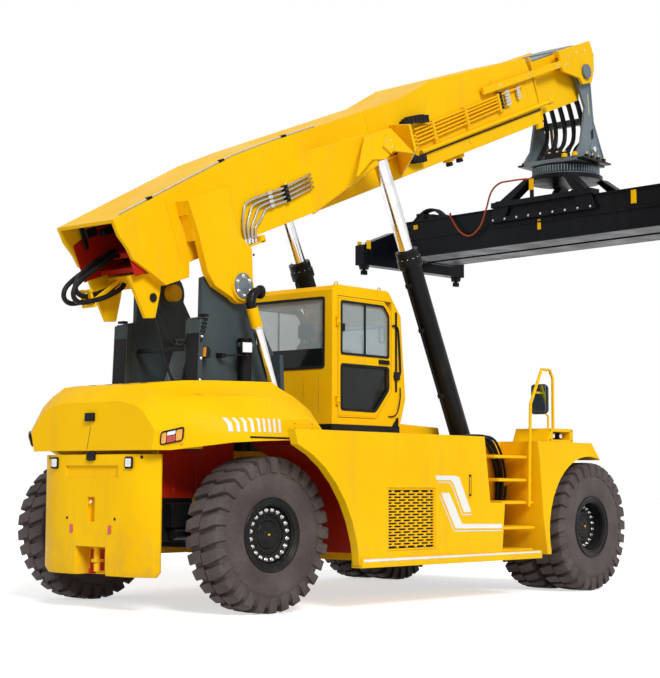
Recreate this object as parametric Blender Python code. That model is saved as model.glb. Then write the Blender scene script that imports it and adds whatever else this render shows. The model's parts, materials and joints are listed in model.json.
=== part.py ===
# Reach stacker for containers. Metres, X forward, Y left, Z up.
# While it is built, X is nought at the rear axle and Z at the ground.
# The whole is moved at the end so that the middle of its footprint box is the origin.
import bpy
import bmesh
from math import atan2, cos, hypot, pi, radians, sin
from mathutils import Matrix, Vector

# Driving sizes
WHEELBASE = 5.64
TYRE_RADIUS = 0.825
TYRE_WIDTH = 0.50
TWIN_WIDTH = 0.45
TWIN_SPACE = 0.078
BORE_RADIUS = 0.335
REAR_TRACK = 2.848
TWIN_TRACK = 3.656
BODY_WIDTH = 4.10
FRAME_WIDTH = 1.20
FRAME_DEPTH = 0.62
DECK_RISE = 0.18
CAB_LENGTH = 1.30
CAB_WIDTH = 1.44
CAB_HEIGHT = 1.67
PIVOT_X = 0.46
PIVOT_RISE = 1.86
BOOM_REACH = 7.20
BOOM_WIDTH = 0.92
BOOM_DEPTH = 0.96
HEAD_REACH = 8.52
SLEW_DROP = 1.46
SPREADER_LENGTH = 5.853
SPREADER_WIDTH = 2.259
LIFT_SPACING = 1.80

# Angles of the pose in the photograph
BOOM_ANGLE = radians(21.5)
REST_STEER = radians(-5.0)
REST_SLEW = radians(-5.0)
SIDE_SHIFT = 0.30

# Clearances and working values
GAP = 0.0003
LAP = 0.01
RUN = 0.0009
SLIDE = 0.0008
OVERRUN = 0.05
WELD = 0.00005
FAR = 1.0e9

# Places that several pieces share
AXLE_Z = TYRE_RADIUS
ARCH_CLEARANCE = 0.275
BELLY_Z = 0.62
SKIRT_Z = 0.52
ARCH_Z = AXLE_Z + ARCH_CLEARANCE
FRAME_TOP = ARCH_Z + FRAME_DEPTH
DECK_TOP = FRAME_TOP + DECK_RISE
BODY_HALF = BODY_WIDTH / 2
RAIL_OUT = FRAME_WIDTH / 2
TWIN_OUTER_Y = TWIN_TRACK / 2
TWIN_INNER_Y = TWIN_OUTER_Y - TWIN_WIDTH - TWIN_SPACE
KING_OFFSET = 0.404
KINGPIN_Y = REAR_TRACK / 2 - KING_OFFSET
LIFT_Y = LIFT_SPACING / 2
BOOM_HALF = BOOM_WIDTH / 2
PIVOT = Vector((PIVOT_X, 0.0, FRAME_TOP + PIVOT_RISE))
SIDES = ((-1, "right"), (1, "left"))

PARTS = bpy.data.collections.new("reach_stacker")
MATERIALS = {}
# Name: colour, metallic value, roughness
COLOURS = {
    "yellow_paint": ((0.93, 0.55, 0.01), 0.0, 0.4),
    "grey_paint": ((0.10, 0.12, 0.15), 0.0, 0.5),
    "navy_paint": ((0.015, 0.018, 0.028), 0.0, 0.5),
    "red_paint": ((0.55, 0.03, 0.015), 0.0, 0.5),
    "black_paint": ((0.012, 0.012, 0.014), 0.0, 0.5),
    "tyre_rubber": ((0.035, 0.028, 0.028), 0.0, 0.8),
    "chrome_steel": ((0.75, 0.76, 0.78), 1.0, 0.15),
    "dark_glass": ((0.04, 0.05, 0.055), 0.0, 0.1),
    "black_plastic": ((0.02, 0.02, 0.02), 0.0, 0.6),
    "seat_cloth": ((0.04, 0.04, 0.045), 0.0, 0.9),
}


def clear_scene():
    for old in list(bpy.data.objects):
        bpy.data.objects.remove(old, do_unlink=True)
    bpy.context.scene.collection.children.link(PARTS)


def material(name):
    if name not in MATERIALS:
        colour, metallic, roughness = COLOURS[name]
        made = bpy.data.materials.new(name)
        made.use_nodes = True
        shader = made.node_tree.nodes["Principled BSDF"]
        shader.inputs["Base Color"].default_value = (*colour, 1.0)
        shader.inputs["Metallic"].default_value = metallic
        shader.inputs["Roughness"].default_value = roughness
        MATERIALS[name] = made
    return MATERIALS[name]


def linked(mesh):
    body = bpy.data.objects.new("shape", mesh)
    PARTS.objects.link(body)
    return body


def tidied(mesh):
    work = bmesh.new()
    work.from_mesh(mesh)
    bmesh.ops.remove_doubles(work, verts=work.verts, dist=WELD)
    bmesh.ops.recalc_face_normals(work, faces=work.faces)
    work.to_mesh(mesh)
    work.free()
    return linked(mesh)


def solid(verts, faces):
    mesh = bpy.data.meshes.new("shape")
    mesh.from_pydata([tuple(v) for v in verts], [], faces)
    return tidied(mesh)


def spread(points, axis, level):
    if axis == "X":
        return [Vector((level, p[0], p[1])) for p in points]
    if axis == "Y":
        return [Vector((p[0], level, p[1])) for p in points]
    return [Vector((p[0], p[1], level)) for p in points]


def loft(rings):
    count = len(rings[0])
    verts = [point for ring in rings for point in ring]
    faces = []
    for step in range(len(rings) - 1):
        low = step * count
        for i in range(count):
            j = (i + 1) % count
            faces.append((low + i, low + j, low + count + j, low + count + i))
    faces.append(tuple(range(count)))
    last = (len(rings) - 1) * count
    faces.append(tuple(last + i for i in range(count)))
    return solid(verts, faces)


def plate(points, axis, low, high):
    return loft([spread(points, axis, low), spread(points, axis, high)])


def block(low, high):
    points = [(low[0], low[1]), (high[0], low[1]), (high[0], high[1]), (low[0], high[1])]
    return plate(points, "Z", low[2], high[2])


def centred(middle, size):
    low = [m - s / 2 for m, s in zip(middle, size)]
    high = [m + s / 2 for m, s in zip(middle, size)]
    return block(low, high)


def outline(corner, size, shares):
    # shares of a length and a height, counted from a corner
    return [(corner[0] + size[0] * a, corner[1] + size[1] * b) for a, b in shares]


def shifted(origin, points):
    return [(origin[0] + x, origin[1] + z) for x, z in points]


def across(side, near, far):
    return sorted((side * near, side * far))


def sided_block(side, x_ends, y_ends, z_ends):
    # y_ends are distances from the machine's middle plane
    low, high = across(side, *y_ends)
    return block((x_ends[0], low, z_ends[0]), (x_ends[1], high, z_ends[1]))


def sided_plate(points, side, near, far):
    return plate(points, "Y", *across(side, near, far))


def sided_rod(middle, side, near, far, radius, segments):
    low, high = across(side, near, far)
    return rod((middle[0], low, middle[1]), (middle[0], high, middle[1]), radius, segments)


def turned(profile, segments, axis="Y", middle=(0, 0, 0)):
    # profile is a closed run of (place along the axis, radius)
    rings = []
    for step in range(segments):
        turn = 2 * pi * step / segments
        ring = []
        for along, radius in profile:
            a, b = radius * cos(turn), radius * sin(turn)
            place = {"X": (along, a, b), "Y": (a, along, b), "Z": (a, b, along)}[axis]
            ring.append(Vector(place) + Vector(middle))
        rings.append(ring)
    count = len(profile)
    verts = [point for ring in rings for point in ring]
    faces = []
    for step in range(segments):
        following = (step + 1) % segments
        for i in range(count):
            j = (i + 1) % count
            if profile[i][1] == 0 and profile[j][1] == 0:
                continue
            seen = []
            for ring, k in ((step, i), (step, j), (following, j), (following, i)):
                index = k if profile[k][1] == 0 else ring * count + k
                if index not in seen:
                    seen.append(index)
            faces.append(tuple(seen))
    used = sorted({i for face in faces for i in face})
    place = {old: new for new, old in enumerate(used)}
    return solid([verts[i] for i in used], [tuple(place[i] for i in face) for face in faces])


def aimed(body, start, end):
    turn = Vector((0, 0, 1)).rotation_difference(end - start).to_matrix().to_4x4()
    body.data.transform(Matrix.Translation(start) @ turn)
    return body


def rod(start, end, radius, segments=16, bore=0.0, wall_end=0.0):
    # a round bar, or a tube closed over wall_end at its start
    start, end = Vector(start), Vector(end)
    length = (end - start).length
    profile = [(0, 0), (0, radius), (length, radius)]
    if bore:
        profile += [(length, bore), (wall_end, bore), (wall_end, 0)]
    else:
        profile += [(length, 0)]
    return aimed(turned(profile, segments, "Z"), start, end)


def tube(start, end, radius, bore, segments=20):
    start, end = Vector(start), Vector(end)
    length = (end - start).length
    profile = [(0, bore), (0, radius), (length, radius), (length, bore)]
    return aimed(turned(profile, segments, "Z"), start, end)


def pipe(points, radius, resolution=1):
    curve = bpy.data.curves.new("run", "CURVE")
    curve.dimensions = "3D"
    curve.bevel_depth = radius
    curve.bevel_resolution = resolution
    curve.use_fill_caps = True
    line = curve.splines.new("POLY")
    line.points.add(len(points) - 1)
    for point, place in zip(line.points, points):
        point.co = (*place, 1.0)
    guide = bpy.data.objects.new("run", curve)
    PARTS.objects.link(guide)
    bpy.context.view_layer.update()
    seen = guide.evaluated_get(bpy.context.evaluated_depsgraph_get())
    mesh = bpy.data.meshes.new_from_object(seen)
    bpy.data.objects.remove(guide, do_unlink=True)
    return tidied(mesh)


def merge(body, others, kind="UNION"):
    for other in others:
        step = body.modifiers.new("step", "BOOLEAN")
        step.operation = kind
        step.solver = "EXACT"
        step.object = other
    bpy.context.view_layer.update()
    seen = body.evaluated_get(bpy.context.evaluated_depsgraph_get())
    mesh = bpy.data.meshes.new_from_object(seen)
    body.modifiers.clear()
    body.data = mesh
    for other in others:
        bpy.data.objects.remove(other, do_unlink=True)
    return body


def joined(pieces):
    return merge(pieces[0], pieces[1:])


def cut(body, others):
    return merge(body, others, "DIFFERENCE")


def moved(body, shift):
    body.data.transform(Matrix.Translation(shift))
    return body


def finish(body, name, paint, carrier):
    body.name = name
    body.data.name = name
    body.data.materials.clear()
    body.data.materials.append(material(paint))
    body.parent = carrier
    return body


def both_sides(make, name, paint, carrier):
    # make() gives the right side's piece at negative Y; the left one is its mirror
    right = make()
    left = linked(right.data.copy())
    left.data.transform(Matrix.Scale(-1, 4, (0, 1, 0)))
    left.data.flip_normals()
    finish(right, name + "_right", paint, carrier)
    finish(left, name + "_left", paint, carrier)


def carrier(name, place, parent=None, turn=(0, 0, 0)):
    frame = bpy.data.objects.new(name, None)
    PARTS.objects.link(frame)
    frame.location = place
    frame.rotation_euler = turn
    frame.parent = parent
    return frame


def arc(middle, radius, start, end, steps):
    # start and end are in degrees
    points = []
    for i in range(steps + 1):
        turn = radians(start + (end - start) * i / steps)
        points.append((middle[0] + radius * cos(turn), middle[1] + radius * sin(turn)))
    return points


# Wheels

LUGS = 18
LUG_HEIGHT = 0.04
# Shares of the tyre's half width, then of the height from bead to tread
BEAD_SHARE, SHOULDER_SHARE, CENTRE_SHARE, BULGE_SHARE = 0.80, 0.94, 0.10, 0.60
RIM_LIP = 0.03
RIM_WELL = 0.05
DISC_PLATE = 0.04
HUB_RADIUS = 0.17
HUB_FLARE = 0.03
HUB_LENGTH = 0.09
TWIN_DISC_INSET = 0.25
KNUCKLE_HEIGHT = 0.37
KNUCKLE_POST = 0.075
KNUCKLE_DRUM = 0.16
KNUCKLE_START = 0.03
KNUCKLE_NECK = (0.13, 0.13, 0.24)


def tyre(width):
    # the lugs of the two halves stand half a pitch apart
    groove = TYRE_RADIUS - LUG_HEIGHT
    widest = BORE_RADIUS + BULGE_SHARE * (groove - BORE_RADIUS)
    cells = 2 * LUGS
    wall = width / 2
    bead, shoulder, inner = wall * BEAD_SHARE, wall * SHOULDER_SHARE, wall * CENTRE_SHARE
    verts = []
    index = {}
    faces = []

    def corner(cell, place, radius):
        key = (cell % cells, place, radius)
        if key not in index:
            turn = 2 * pi * (cell % cells) / cells
            index[key] = len(verts)
            verts.append((radius * cos(turn), place, radius * sin(turn)))
        return index[key]

    def strip(cell, near, far):
        # near and far are (place across, radius) of the strip's two edges
        edges = ((cell, near), (cell + 1, near), (cell + 1, far), (cell, far))
        faces.append(tuple(corner(at, *place) for at, place in edges))

    for cell in range(cells):
        strip(cell, (-inner, groove), (inner, groove))
        strip(cell, (-bead, BORE_RADIUS), (bead, BORE_RADIUS))
        for side in (-1, 1):
            near, far = side * shoulder, side * inner
            strip(cell, (side * bead, BORE_RADIUS), (side * wall, widest))
            strip(cell, (side * wall, widest), (near, groove))
            if (cell + (side > 0)) % 2:
                strip(cell, (near, groove), (far, groove))
                continue
            strip(cell, (near, TYRE_RADIUS), (far, TYRE_RADIUS))
            strip(cell, (near, groove), (near, TYRE_RADIUS))
            strip(cell, (far, groove), (far, TYRE_RADIUS))
            for end in (cell, cell + 1):
                ends = ((near, groove), (near, TYRE_RADIUS), (far, TYRE_RADIUS), (far, groove))
                faces.append(tuple(corner(end, *place) for place in ends))
    return solid(verts, faces)


def rear_rim(side):
    # the dish opens outwards; places are distances outwards from the tyre's middle
    seat = BORE_RADIUS - GAP
    bead = TYRE_WIDTH / 2 * BEAD_SHARE
    face = DISC_PLATE / 2
    hub = face + HUB_LENGTH
    profile = [(bead, seat), (bead, seat - RIM_LIP), (face, seat - RIM_WELL), (face, HUB_RADIUS + HUB_FLARE),
               (hub - HUB_FLARE, HUB_RADIUS), (hub, 0), (-face, 0), (-face, seat - RIM_WELL),
               (-bead, seat - RIM_LIP), (-bead, seat)]
    return turned([(side * place, radius) for place, radius in profile], 2 * LUGS)


def twin_rim(side):
    seat = BORE_RADIUS - GAP
    bead = TWIN_WIDTH / 2 * BEAD_SHARE
    outer, inner = TWIN_OUTER_Y + bead, TWIN_INNER_Y - bead
    disc = TWIN_INNER_Y + TWIN_DISC_INSET
    face = disc + DISC_PLATE
    hub = face + HUB_LENGTH + HUB_FLARE
    profile = [(outer, seat), (outer, seat - RIM_LIP), (face, seat - RIM_WELL), (face, HUB_RADIUS + RIM_WELL),
               (hub, HUB_RADIUS + HUB_FLARE), (hub + HUB_FLARE / 2, 0), (disc, 0), (disc, seat - RIM_WELL),
               (inner, seat - RIM_LIP), (inner, seat)]
    return turned([(side * place, radius) for place, radius in profile], 2 * LUGS)


def build_wheels(base):
    reach = REAR_TRACK / 2 - KINGPIN_Y
    half = KNUCKLE_HEIGHT / 2 - GAP
    drum_end = reach - DISC_PLATE / 2 - GAP
    for side, word in SIDES:
        king = carrier("knuckle_axis_" + word, (0, side * KINGPIN_Y, AXLE_Z), base, (0, 0, REST_STEER))
        hub = carrier("rear_wheel_axis_" + word, (0, side * reach, 0), king)
        finish(tyre(TYRE_WIDTH), "tyre_rear_" + word, "tyre_rubber", hub)
        finish(rear_rim(side), "rim_rear_" + word, "black_paint", hub)
        post = rod((0, 0, -half), (0, 0, half), KNUCKLE_POST, 16)
        drum = rod((0, side * KNUCKLE_START, 0), (0, side * drum_end, 0), KNUCKLE_DRUM, 20)
        neck = centred((0, side * (KNUCKLE_START + KNUCKLE_NECK[1] / 2), 0), KNUCKLE_NECK)
        finish(joined([post, neck, drum]), "knuckle_" + word, "black_paint", king)
        axle = carrier("front_wheel_axis_" + word, (WHEELBASE, 0, AXLE_Z), base)
        for place, y in (("outer", TWIN_OUTER_Y), ("inner", TWIN_INNER_Y)):
            body = moved(tyre(TWIN_WIDTH), (0, side * y, 0))
            finish(body, "tyre_front_" + place + "_" + word, "tyre_rubber", axle)
        finish(twin_rim(side), "rim_front_" + word, "black_paint", axle)


# Chassis

RAIL_PLATE = 0.10
FRAME_BACK = -(TYRE_RADIUS - 0.075)
RAMP_BACK = TYRE_RADIUS - 0.075
RAMP_RUN = 0.50
NOSE_RAMP = WHEELBASE - 0.59
NOSE_RAMP_RUN = 0.30
NOSE_X = WHEELBASE + 0.41
NOSE_PLATE = 0.10
DECK_PLATE = 0.03
SADDLE_PLATE = 0.06
SADDLE_HALF = 0.22
MIDDLE_SHARES = (0.32, 0.64)
LIFT_FOOT = Vector((WHEELBASE - 0.94, 0.0, AXLE_Z + 0.375))
LUG_SPACING = 0.30
LUG_PLATE = 0.03
LUG_WIDTH = 0.36
LUG_SHARES = ((0, 0), (1, 0), (0.83, 1), (0.17, 1))
BRACKET_LENGTH = 0.40
BRACKET_PLATE = 0.06
BRACKET_DROP = 0.16
FOOT_PIN = 0.05
BEAM_HALF_LENGTH = 0.20
BEAM_DEPTH = 0.32
BEAM_RISE = 0.155
EAR_PLATE = 0.04
EAR_HALF = 0.09
EAR_REACH = 0.08
EAR_ROOT = 0.24
DIFF_RADIUS = 0.34
DIFF_HALF = 0.30
TRUMPET_RADII = (0.22, 0.17, 0.15)
TRUMPET_PLACES = (0.45, 0.98)
PAD_Y = 0.55
PAD_SIZE = (0.36, 0.12)
ENGINE_LOW = (-0.55, 0.42)
ENGINE_LENGTH = 1.75
ENGINE_HEIGHT = 1.04


def build_frame(base):
    rail = [(FRAME_BACK, ARCH_Z), (RAMP_BACK, ARCH_Z), (RAMP_BACK + RAMP_RUN, BELLY_Z),
            (NOSE_RAMP - NOSE_RAMP_RUN, BELLY_Z),
            (NOSE_RAMP, ARCH_Z), (NOSE_X, ARCH_Z), (NOSE_X, FRAME_TOP), (FRAME_BACK, FRAME_TOP)]
    rail_in = RAIL_OUT - RAIL_PLATE
    rails = [sided_plate(rail, side, rail_in, RAIL_OUT) for side in (-1, 1)]
    half = rail_in + RAIL_PLATE / 5
    belly = RAMP_BACK + RAMP_RUN
    span = NOSE_RAMP - NOSE_RAMP_RUN - belly
    # Start, length, lower and upper level of each cross member
    members = [(FRAME_BACK, NOSE_PLATE, ARCH_Z, FRAME_TOP), (belly, NOSE_PLATE, BELLY_Z, FRAME_TOP),
               (-SADDLE_HALF, 2 * SADDLE_HALF, ARCH_Z, ARCH_Z + SADDLE_PLATE),
               (WHEELBASE - SADDLE_HALF, 2 * SADDLE_HALF, AXLE_Z + DIFF_RADIUS + DECK_PLATE,
                AXLE_Z + DIFF_RADIUS + DECK_PLATE + SADDLE_PLATE),
               (NOSE_X - NOSE_PLATE, NOSE_PLATE, ARCH_Z, FRAME_TOP),
               (belly + NOSE_PLATE / 2, NOSE_X - belly - NOSE_PLATE, FRAME_TOP - DECK_PLATE, FRAME_TOP)]
    members += [(belly + share * span, NOSE_PLATE, BELLY_Z, FRAME_TOP) for share in MIDDLE_SHARES]
    pieces = [block((x, -half, low), (x + length, half, high)) for x, length, low, high in members]
    bracket_z = LIFT_FOOT.z - BRACKET_DROP
    bracket_x = (LIFT_FOOT.x - BRACKET_LENGTH / 2, LIFT_FOOT.x + BRACKET_LENGTH / 2)
    lug = outline((LIFT_FOOT.x - LUG_WIDTH / 2, bracket_z - BRACKET_PLATE / 2), (LUG_WIDTH, 2 * BRACKET_DROP),
                  LUG_SHARES)
    for side, word in SIDES:
        pieces.append(sided_block(side, bracket_x, (half, LIFT_Y + BRACKET_DROP),
                                  (bracket_z - BRACKET_PLATE, bracket_z)))
        for y in (LIFT_Y - LUG_SPACING / 2, LIFT_Y + LUG_SPACING / 2):
            pieces.append(sided_plate(lug, side, y - LUG_PLATE / 2, y + LUG_PLATE / 2))
        reach = LUG_SPACING / 2 + LUG_PLATE / 3
        pieces.append(sided_rod((LIFT_FOOT.x, LIFT_FOOT.z), side, LIFT_Y - reach, LIFT_Y + reach, FOOT_PIN,
                                32))
    finish(joined(rails + pieces), "chassis_frame", "yellow_paint", base)


def build_axles(base):
    low = AXLE_Z - KNUCKLE_HEIGHT / 2
    high = AXLE_Z + KNUCKLE_HEIGHT / 2
    beam_top = AXLE_Z + BEAM_RISE
    beam_half = KINGPIN_Y - EAR_ROOT + EAR_PLATE / 2
    saddle_half = beam_half / 2
    pieces = [centred((0, 0, beam_top - BEAM_DEPTH / 2), (2 * BEAM_HALF_LENGTH, 2 * beam_half, BEAM_DEPTH)),
              block((-EAR_HALF, -saddle_half, beam_top - DECK_PLATE), (EAR_HALF, saddle_half, ARCH_Z - GAP))]
    for side, word in SIDES:
        root = (KINGPIN_Y - EAR_ROOT, KINGPIN_Y - EAR_ROOT / 2)
        ear = (KINGPIN_Y - EAR_ROOT, KINGPIN_Y + EAR_REACH)
        pieces.append(sided_block(side, (-EAR_HALF - EAR_PLATE, EAR_HALF + EAR_PLATE), root,
                                  (low - EAR_PLATE, high + EAR_PLATE)))
        pieces.append(sided_block(side, (-EAR_HALF, EAR_HALF), ear, (low - EAR_PLATE, low)))
        pieces.append(sided_block(side, (-EAR_HALF, EAR_HALF), ear, (high, high + EAR_PLATE)))
    finish(joined(pieces), "rear_steer_axle", "black_paint", base)
    end = TWIN_INNER_Y + TWIN_DISC_INSET - GAP
    neck, root = TRUMPET_PLACES
    wide, middle, narrow = TRUMPET_RADII
    half = [(end, 0.0), (end, narrow), (root, narrow), (root, middle), (neck, wide), (DIFF_HALF, DIFF_RADIUS)]
    shape = [(-y, radius) for y, radius in half] + half[::-1]
    pieces = [turned(shape, 20, "Y", (WHEELBASE, 0, AXLE_Z))]
    pad_x = (WHEELBASE - PAD_SIZE[0] / 2, WHEELBASE + PAD_SIZE[0] / 2)
    for side, word in SIDES:
        pad_y = (PAD_Y - PAD_SIZE[1] / 2, PAD_Y + PAD_SIZE[1] / 2)
        pieces.append(sided_block(side, pad_x, pad_y, (AXLE_Z, ARCH_Z - GAP)))
    finish(joined(pieces), "front_drive_axle", "black_paint", base)
    x, half = ENGINE_LOW
    z = ARCH_Z + SADDLE_PLATE + GAP
    finish(block((x, -half, z), (x + ENGINE_LENGTH, half, z + ENGINE_HEIGHT)), "engine_block", "black_paint",
           base)


# Counterweight. Its plan is counted back from the frame's end and out from the middle.

WEIGHT_LENGTH = 0.39
WEIGHT_HALF = 0.93
WEIGHT_LOW = 0.38
WEIGHT_TOP = AXLE_Z + 0.835
WEIGHT_SHARES = ((0, 0.54), (0.06, 0.54), (0.15, 0.75), (0.42, 0.925), (0.56, 0.99), (0.62, 0.995),
                 (0.87, 0.83), (1, 0.635))
WEIGHT_CHAMFER = 0.06
LATCH_SLOT = (0.84, 0.12)
TOW_WIDTH = 0.48
TOW_DEPTH = 0.20
TOW_HEIGHT = 0.30
TOW_PIN = 0.035
HANDLE_SLOT = (0.12, 0.26)
HANDLE_DEPTH = 0.08


def build_counterweight(base):
    front = FRAME_BACK - GAP
    back = front - WEIGHT_LENGTH

    def ring(level, inset):
        half = [(front - share * WEIGHT_LENGTH, WEIGHT_HALF * wide) for share, wide in WEIGHT_SHARES]
        points = half + [(x, -y) for x, y in reversed(half)]
        middle = front - WEIGHT_LENGTH / 2
        squeeze = 1 - inset / WEIGHT_HALF
        return [Vector((middle + (x - middle) * squeeze if x < middle else x, y * squeeze, level)) for x,
                y in points]

    body = loft([ring(WEIGHT_LOW, WEIGHT_CHAMFER), ring(WEIGHT_LOW + WEIGHT_CHAMFER, 0), ring(WEIGHT_TOP, 0)])
    slot_z = WEIGHT_TOP - 2 * LATCH_SLOT[1]
    handle_z = AXLE_Z + LATCH_SLOT[1]
    tow_top = WEIGHT_LOW + TOW_HEIGHT
    cuts = [block((back - OVERRUN, -LATCH_SLOT[0] / 2, slot_z),
                  (back + RIM_WELL / 2, LATCH_SLOT[0] / 2, slot_z + LATCH_SLOT[1])),
            block((back - OVERRUN, -HANDLE_SLOT[0] / 2, handle_z),
                  (back + HANDLE_DEPTH, HANDLE_SLOT[0] / 2, handle_z + HANDLE_SLOT[1])),
            block((back - OVERRUN, -TOW_WIDTH / 2, WEIGHT_LOW - OVERRUN),
                  (back + TOW_DEPTH, TOW_WIDTH / 2, tow_top))]
    body = cut(body, cuts)
    pin_x = back + TOW_DEPTH / 2
    tongue = centred((back + TOW_DEPTH * 0.75, 0, (WEIGHT_LOW + tow_top) / 2),
                     (TOW_DEPTH, TOW_PIN * 2, TOW_PIN))
    pin = rod((pin_x, 0, WEIGHT_LOW + TOW_PIN), (pin_x, 0, tow_top + TOW_PIN), TOW_PIN, 12)
    finish(joined([body, tongue, pin]), "counterweight", "yellow_paint", base)


# Engine hood. Each section is a share along it, then shares of its half width and its height.

HOOD_BACK = -(TYRE_RADIUS + 0.335)
HOOD_LENGTH = 1.78
HOOD_HALF = BODY_HALF - 0.31
HOOD_BASE = WEIGHT_TOP + 0.04
HOOD_HEIGHT = 0.77
HOOD_WALL = 0.035
HOOD_SHARES = (
    (0.00, (0.546, 0.00), (0.575, 0.26), (0.47, 0.530), (0.40, 0.610), (0.26, 0.675)),
    (0.08, (0.630, 0.00), (0.690, 0.285), (0.563, 0.650), (0.47, 0.790), (0.356, 0.910)),
    (0.30, (0.920, 0.105), (0.920, 0.365), (0.735, 0.730), (0.60, 0.790), (0.495, 0.975)),
    (0.455, (0.983, 0.130), (0.983, 0.415), (0.816, 0.755), (0.66, 0.830), (0.575, 0.987)),
    (0.876, (1.000, 0.170), (1.000, 0.455), (0.874, 0.780), (0.76, 0.900), (0.690, 1.000)),
    (1.00, (1.000, 0.170), (1.000, 0.325), (0.897, 0.600), (0.81, 0.680), (0.724, 0.755)),
)
TOWER_NOTCH = (0.36, 0.74)
NOTCH_X = -0.42
FIREWALL_X = -0.70
FIREWALL_PLATE = 0.04
FIREWALL_SIZE = (1.20, 0.58)


def build_hood(base):
    def ring(share, rows, shift, wall):
        half = []
        for wide, high in rows:
            foot = (wide, high) == rows[0]
            half.append((HOOD_HALF * wide - wall,
                         HOOD_BASE + HOOD_HEIGHT * high - (OVERRUN if foot and wall else wall)))
        x = HOOD_BACK + HOOD_LENGTH * share + shift
        return [Vector((x, y, z)) for y, z in half] + [Vector((x, -y, z)) for y, z in reversed(half)]

    outer = loft([ring(share, rows, 0, 0) for share, *rows in HOOD_SHARES])
    shifts = [HOOD_WALL] + [0] * (len(HOOD_SHARES) - 2) + [OVERRUN]
    inner = loft([ring(share, rows, shift, HOOD_WALL) for (share, *rows), shift in zip(HOOD_SHARES, shifts)])
    body = cut(outer, [inner])
    notches = []
    for side, word in SIDES:
        x_ends = (NOTCH_X, HOOD_BACK + HOOD_LENGTH + OVERRUN)
        notches.append(sided_block(side, x_ends, TOWER_NOTCH,
                                   (HOOD_BASE + HOOD_HEIGHT / 2, HOOD_BASE + HOOD_HEIGHT + OVERRUN)))
    wall = block((FIREWALL_X, -FIREWALL_SIZE[0], FRAME_TOP + GAP),
                 (FIREWALL_X + FIREWALL_PLATE, FIREWALL_SIZE[0], FRAME_TOP + FIREWALL_SIZE[1]))
    finish(joined([cut(body, notches), wall]), "engine_hood", "yellow_paint", base)


# Towers that carry the boom's pivot

TOWER_Y = 0.50
TOWER_PLATE = 0.06
TOWER_REAR = -0.28
TOWER_FRONT = TYRE_RADIUS + 0.38
TOWER_WEB_SHARES = ((0, 0), (0.04, 0.78), (0.145, 0.795), (0.15, 1.03))
TOWER_NOSE_SHARES = ((0.95, 0.60), (1, 0))
TOWER_HEAD = 0.24
FLANGE_Y = (0.475, 0.70)
FLANGE_PLATE = 0.06
BOSS_RADIUS = 0.18
BOSS_REACH = 0.01
PIVOT_PIN = 0.10


def build_towers(base):
    foot = FRAME_TOP + GAP
    rise = PIVOT.z - foot

    def tower():
        corner, size = (TOWER_REAR, foot), (TOWER_FRONT - TOWER_REAR, rise)
        web = outline(corner, size, TOWER_WEB_SHARES)
        web += arc((PIVOT.x, PIVOT.z), TOWER_HEAD, 110, -20, 7)
        web += outline(corner, size, TOWER_NOSE_SHARES)
        rear = outline(corner, size, ((0, 0), (0.04, 0.77)))
        rear += [(x + FLANGE_PLATE, z) for x, z in reversed(rear)]
        front = outline(corner, size, TOWER_NOSE_SHARES)
        front += [(x - FLANGE_PLATE, z) for x, z in reversed(front)]
        body = joined([plate(web, "Y", -TOWER_Y - TOWER_PLATE, -TOWER_Y),
                       plate(rear, "Y", -FLANGE_Y[1], -FLANGE_Y[0]), plate(front, "Y", -FLANGE_Y[1],
                                                                           -FLANGE_Y[0]),
                       sided_rod((PIVOT.x, PIVOT.z), -1, TOWER_Y - BOSS_REACH,
                                 TOWER_Y + TOWER_PLATE + BOSS_REACH, BOSS_RADIUS, 24)])
        bore = sided_rod((PIVOT.x, PIVOT.z), -1, TOWER_Y - OVERRUN, TOWER_Y + TOWER_PLATE + OVERRUN,
                         PIVOT_PIN + RUN, 32)
        return cut(body, [bore])
    both_sides(tower, "boom_tower", "grey_paint", base)


# Sides: tanks with their skins, steps, fenders, rails and arch liners

SKIN = 0.10
SKIN_TOP = DECK_TOP + 0.03
SKIN_CURVE = (TYRE_RADIUS - 1.425, AXLE_Z - 0.475)
SKIN_CURVE_RADIUS = 1.50
SKIN_START = 0.58
SKIN_END = WHEELBASE - 2.07
SKIN_FRONT_SHARES = ((0, 0), (0.025, 0.455), (-0.085, 0.455), (-0.127, 1))
TANK_REAR = TYRE_RADIUS + 0.395
TANK_FRONT = WHEELBASE - 2.48
TANK_INSET = 0.09
WELL_FRONT = WHEELBASE - 1.28
WELL_Y = BODY_HALF - 0.60
WELL_TOP = AXLE_Z + 0.375
PAN_PLATE = 0.06
STRIP_OUT = 0.03
STRIP_DROP = 0.06
STRIP_HEIGHT = 0.10
LEDGE = (0.64, 0.17, 0.09)
VENT_X = TYRE_RADIUS + 0.555
VENT_LENGTH = 0.87
VENT_Z = SKIRT_Z + 0.11
VENT_HEIGHT = 0.69
VENT_DEPTH = 0.05
VENT_FACE = 0.01
VENT_BORDER = 0.03
VENT_ROWS, VENT_COLUMNS = 9, 4
VENT_SLOT_SHARES = (0.80, 0.55)
STEP_PLATE = 0.035
STEP_OUT = BODY_HALF - 0.12
STEP_WALL = 0.04
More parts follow.
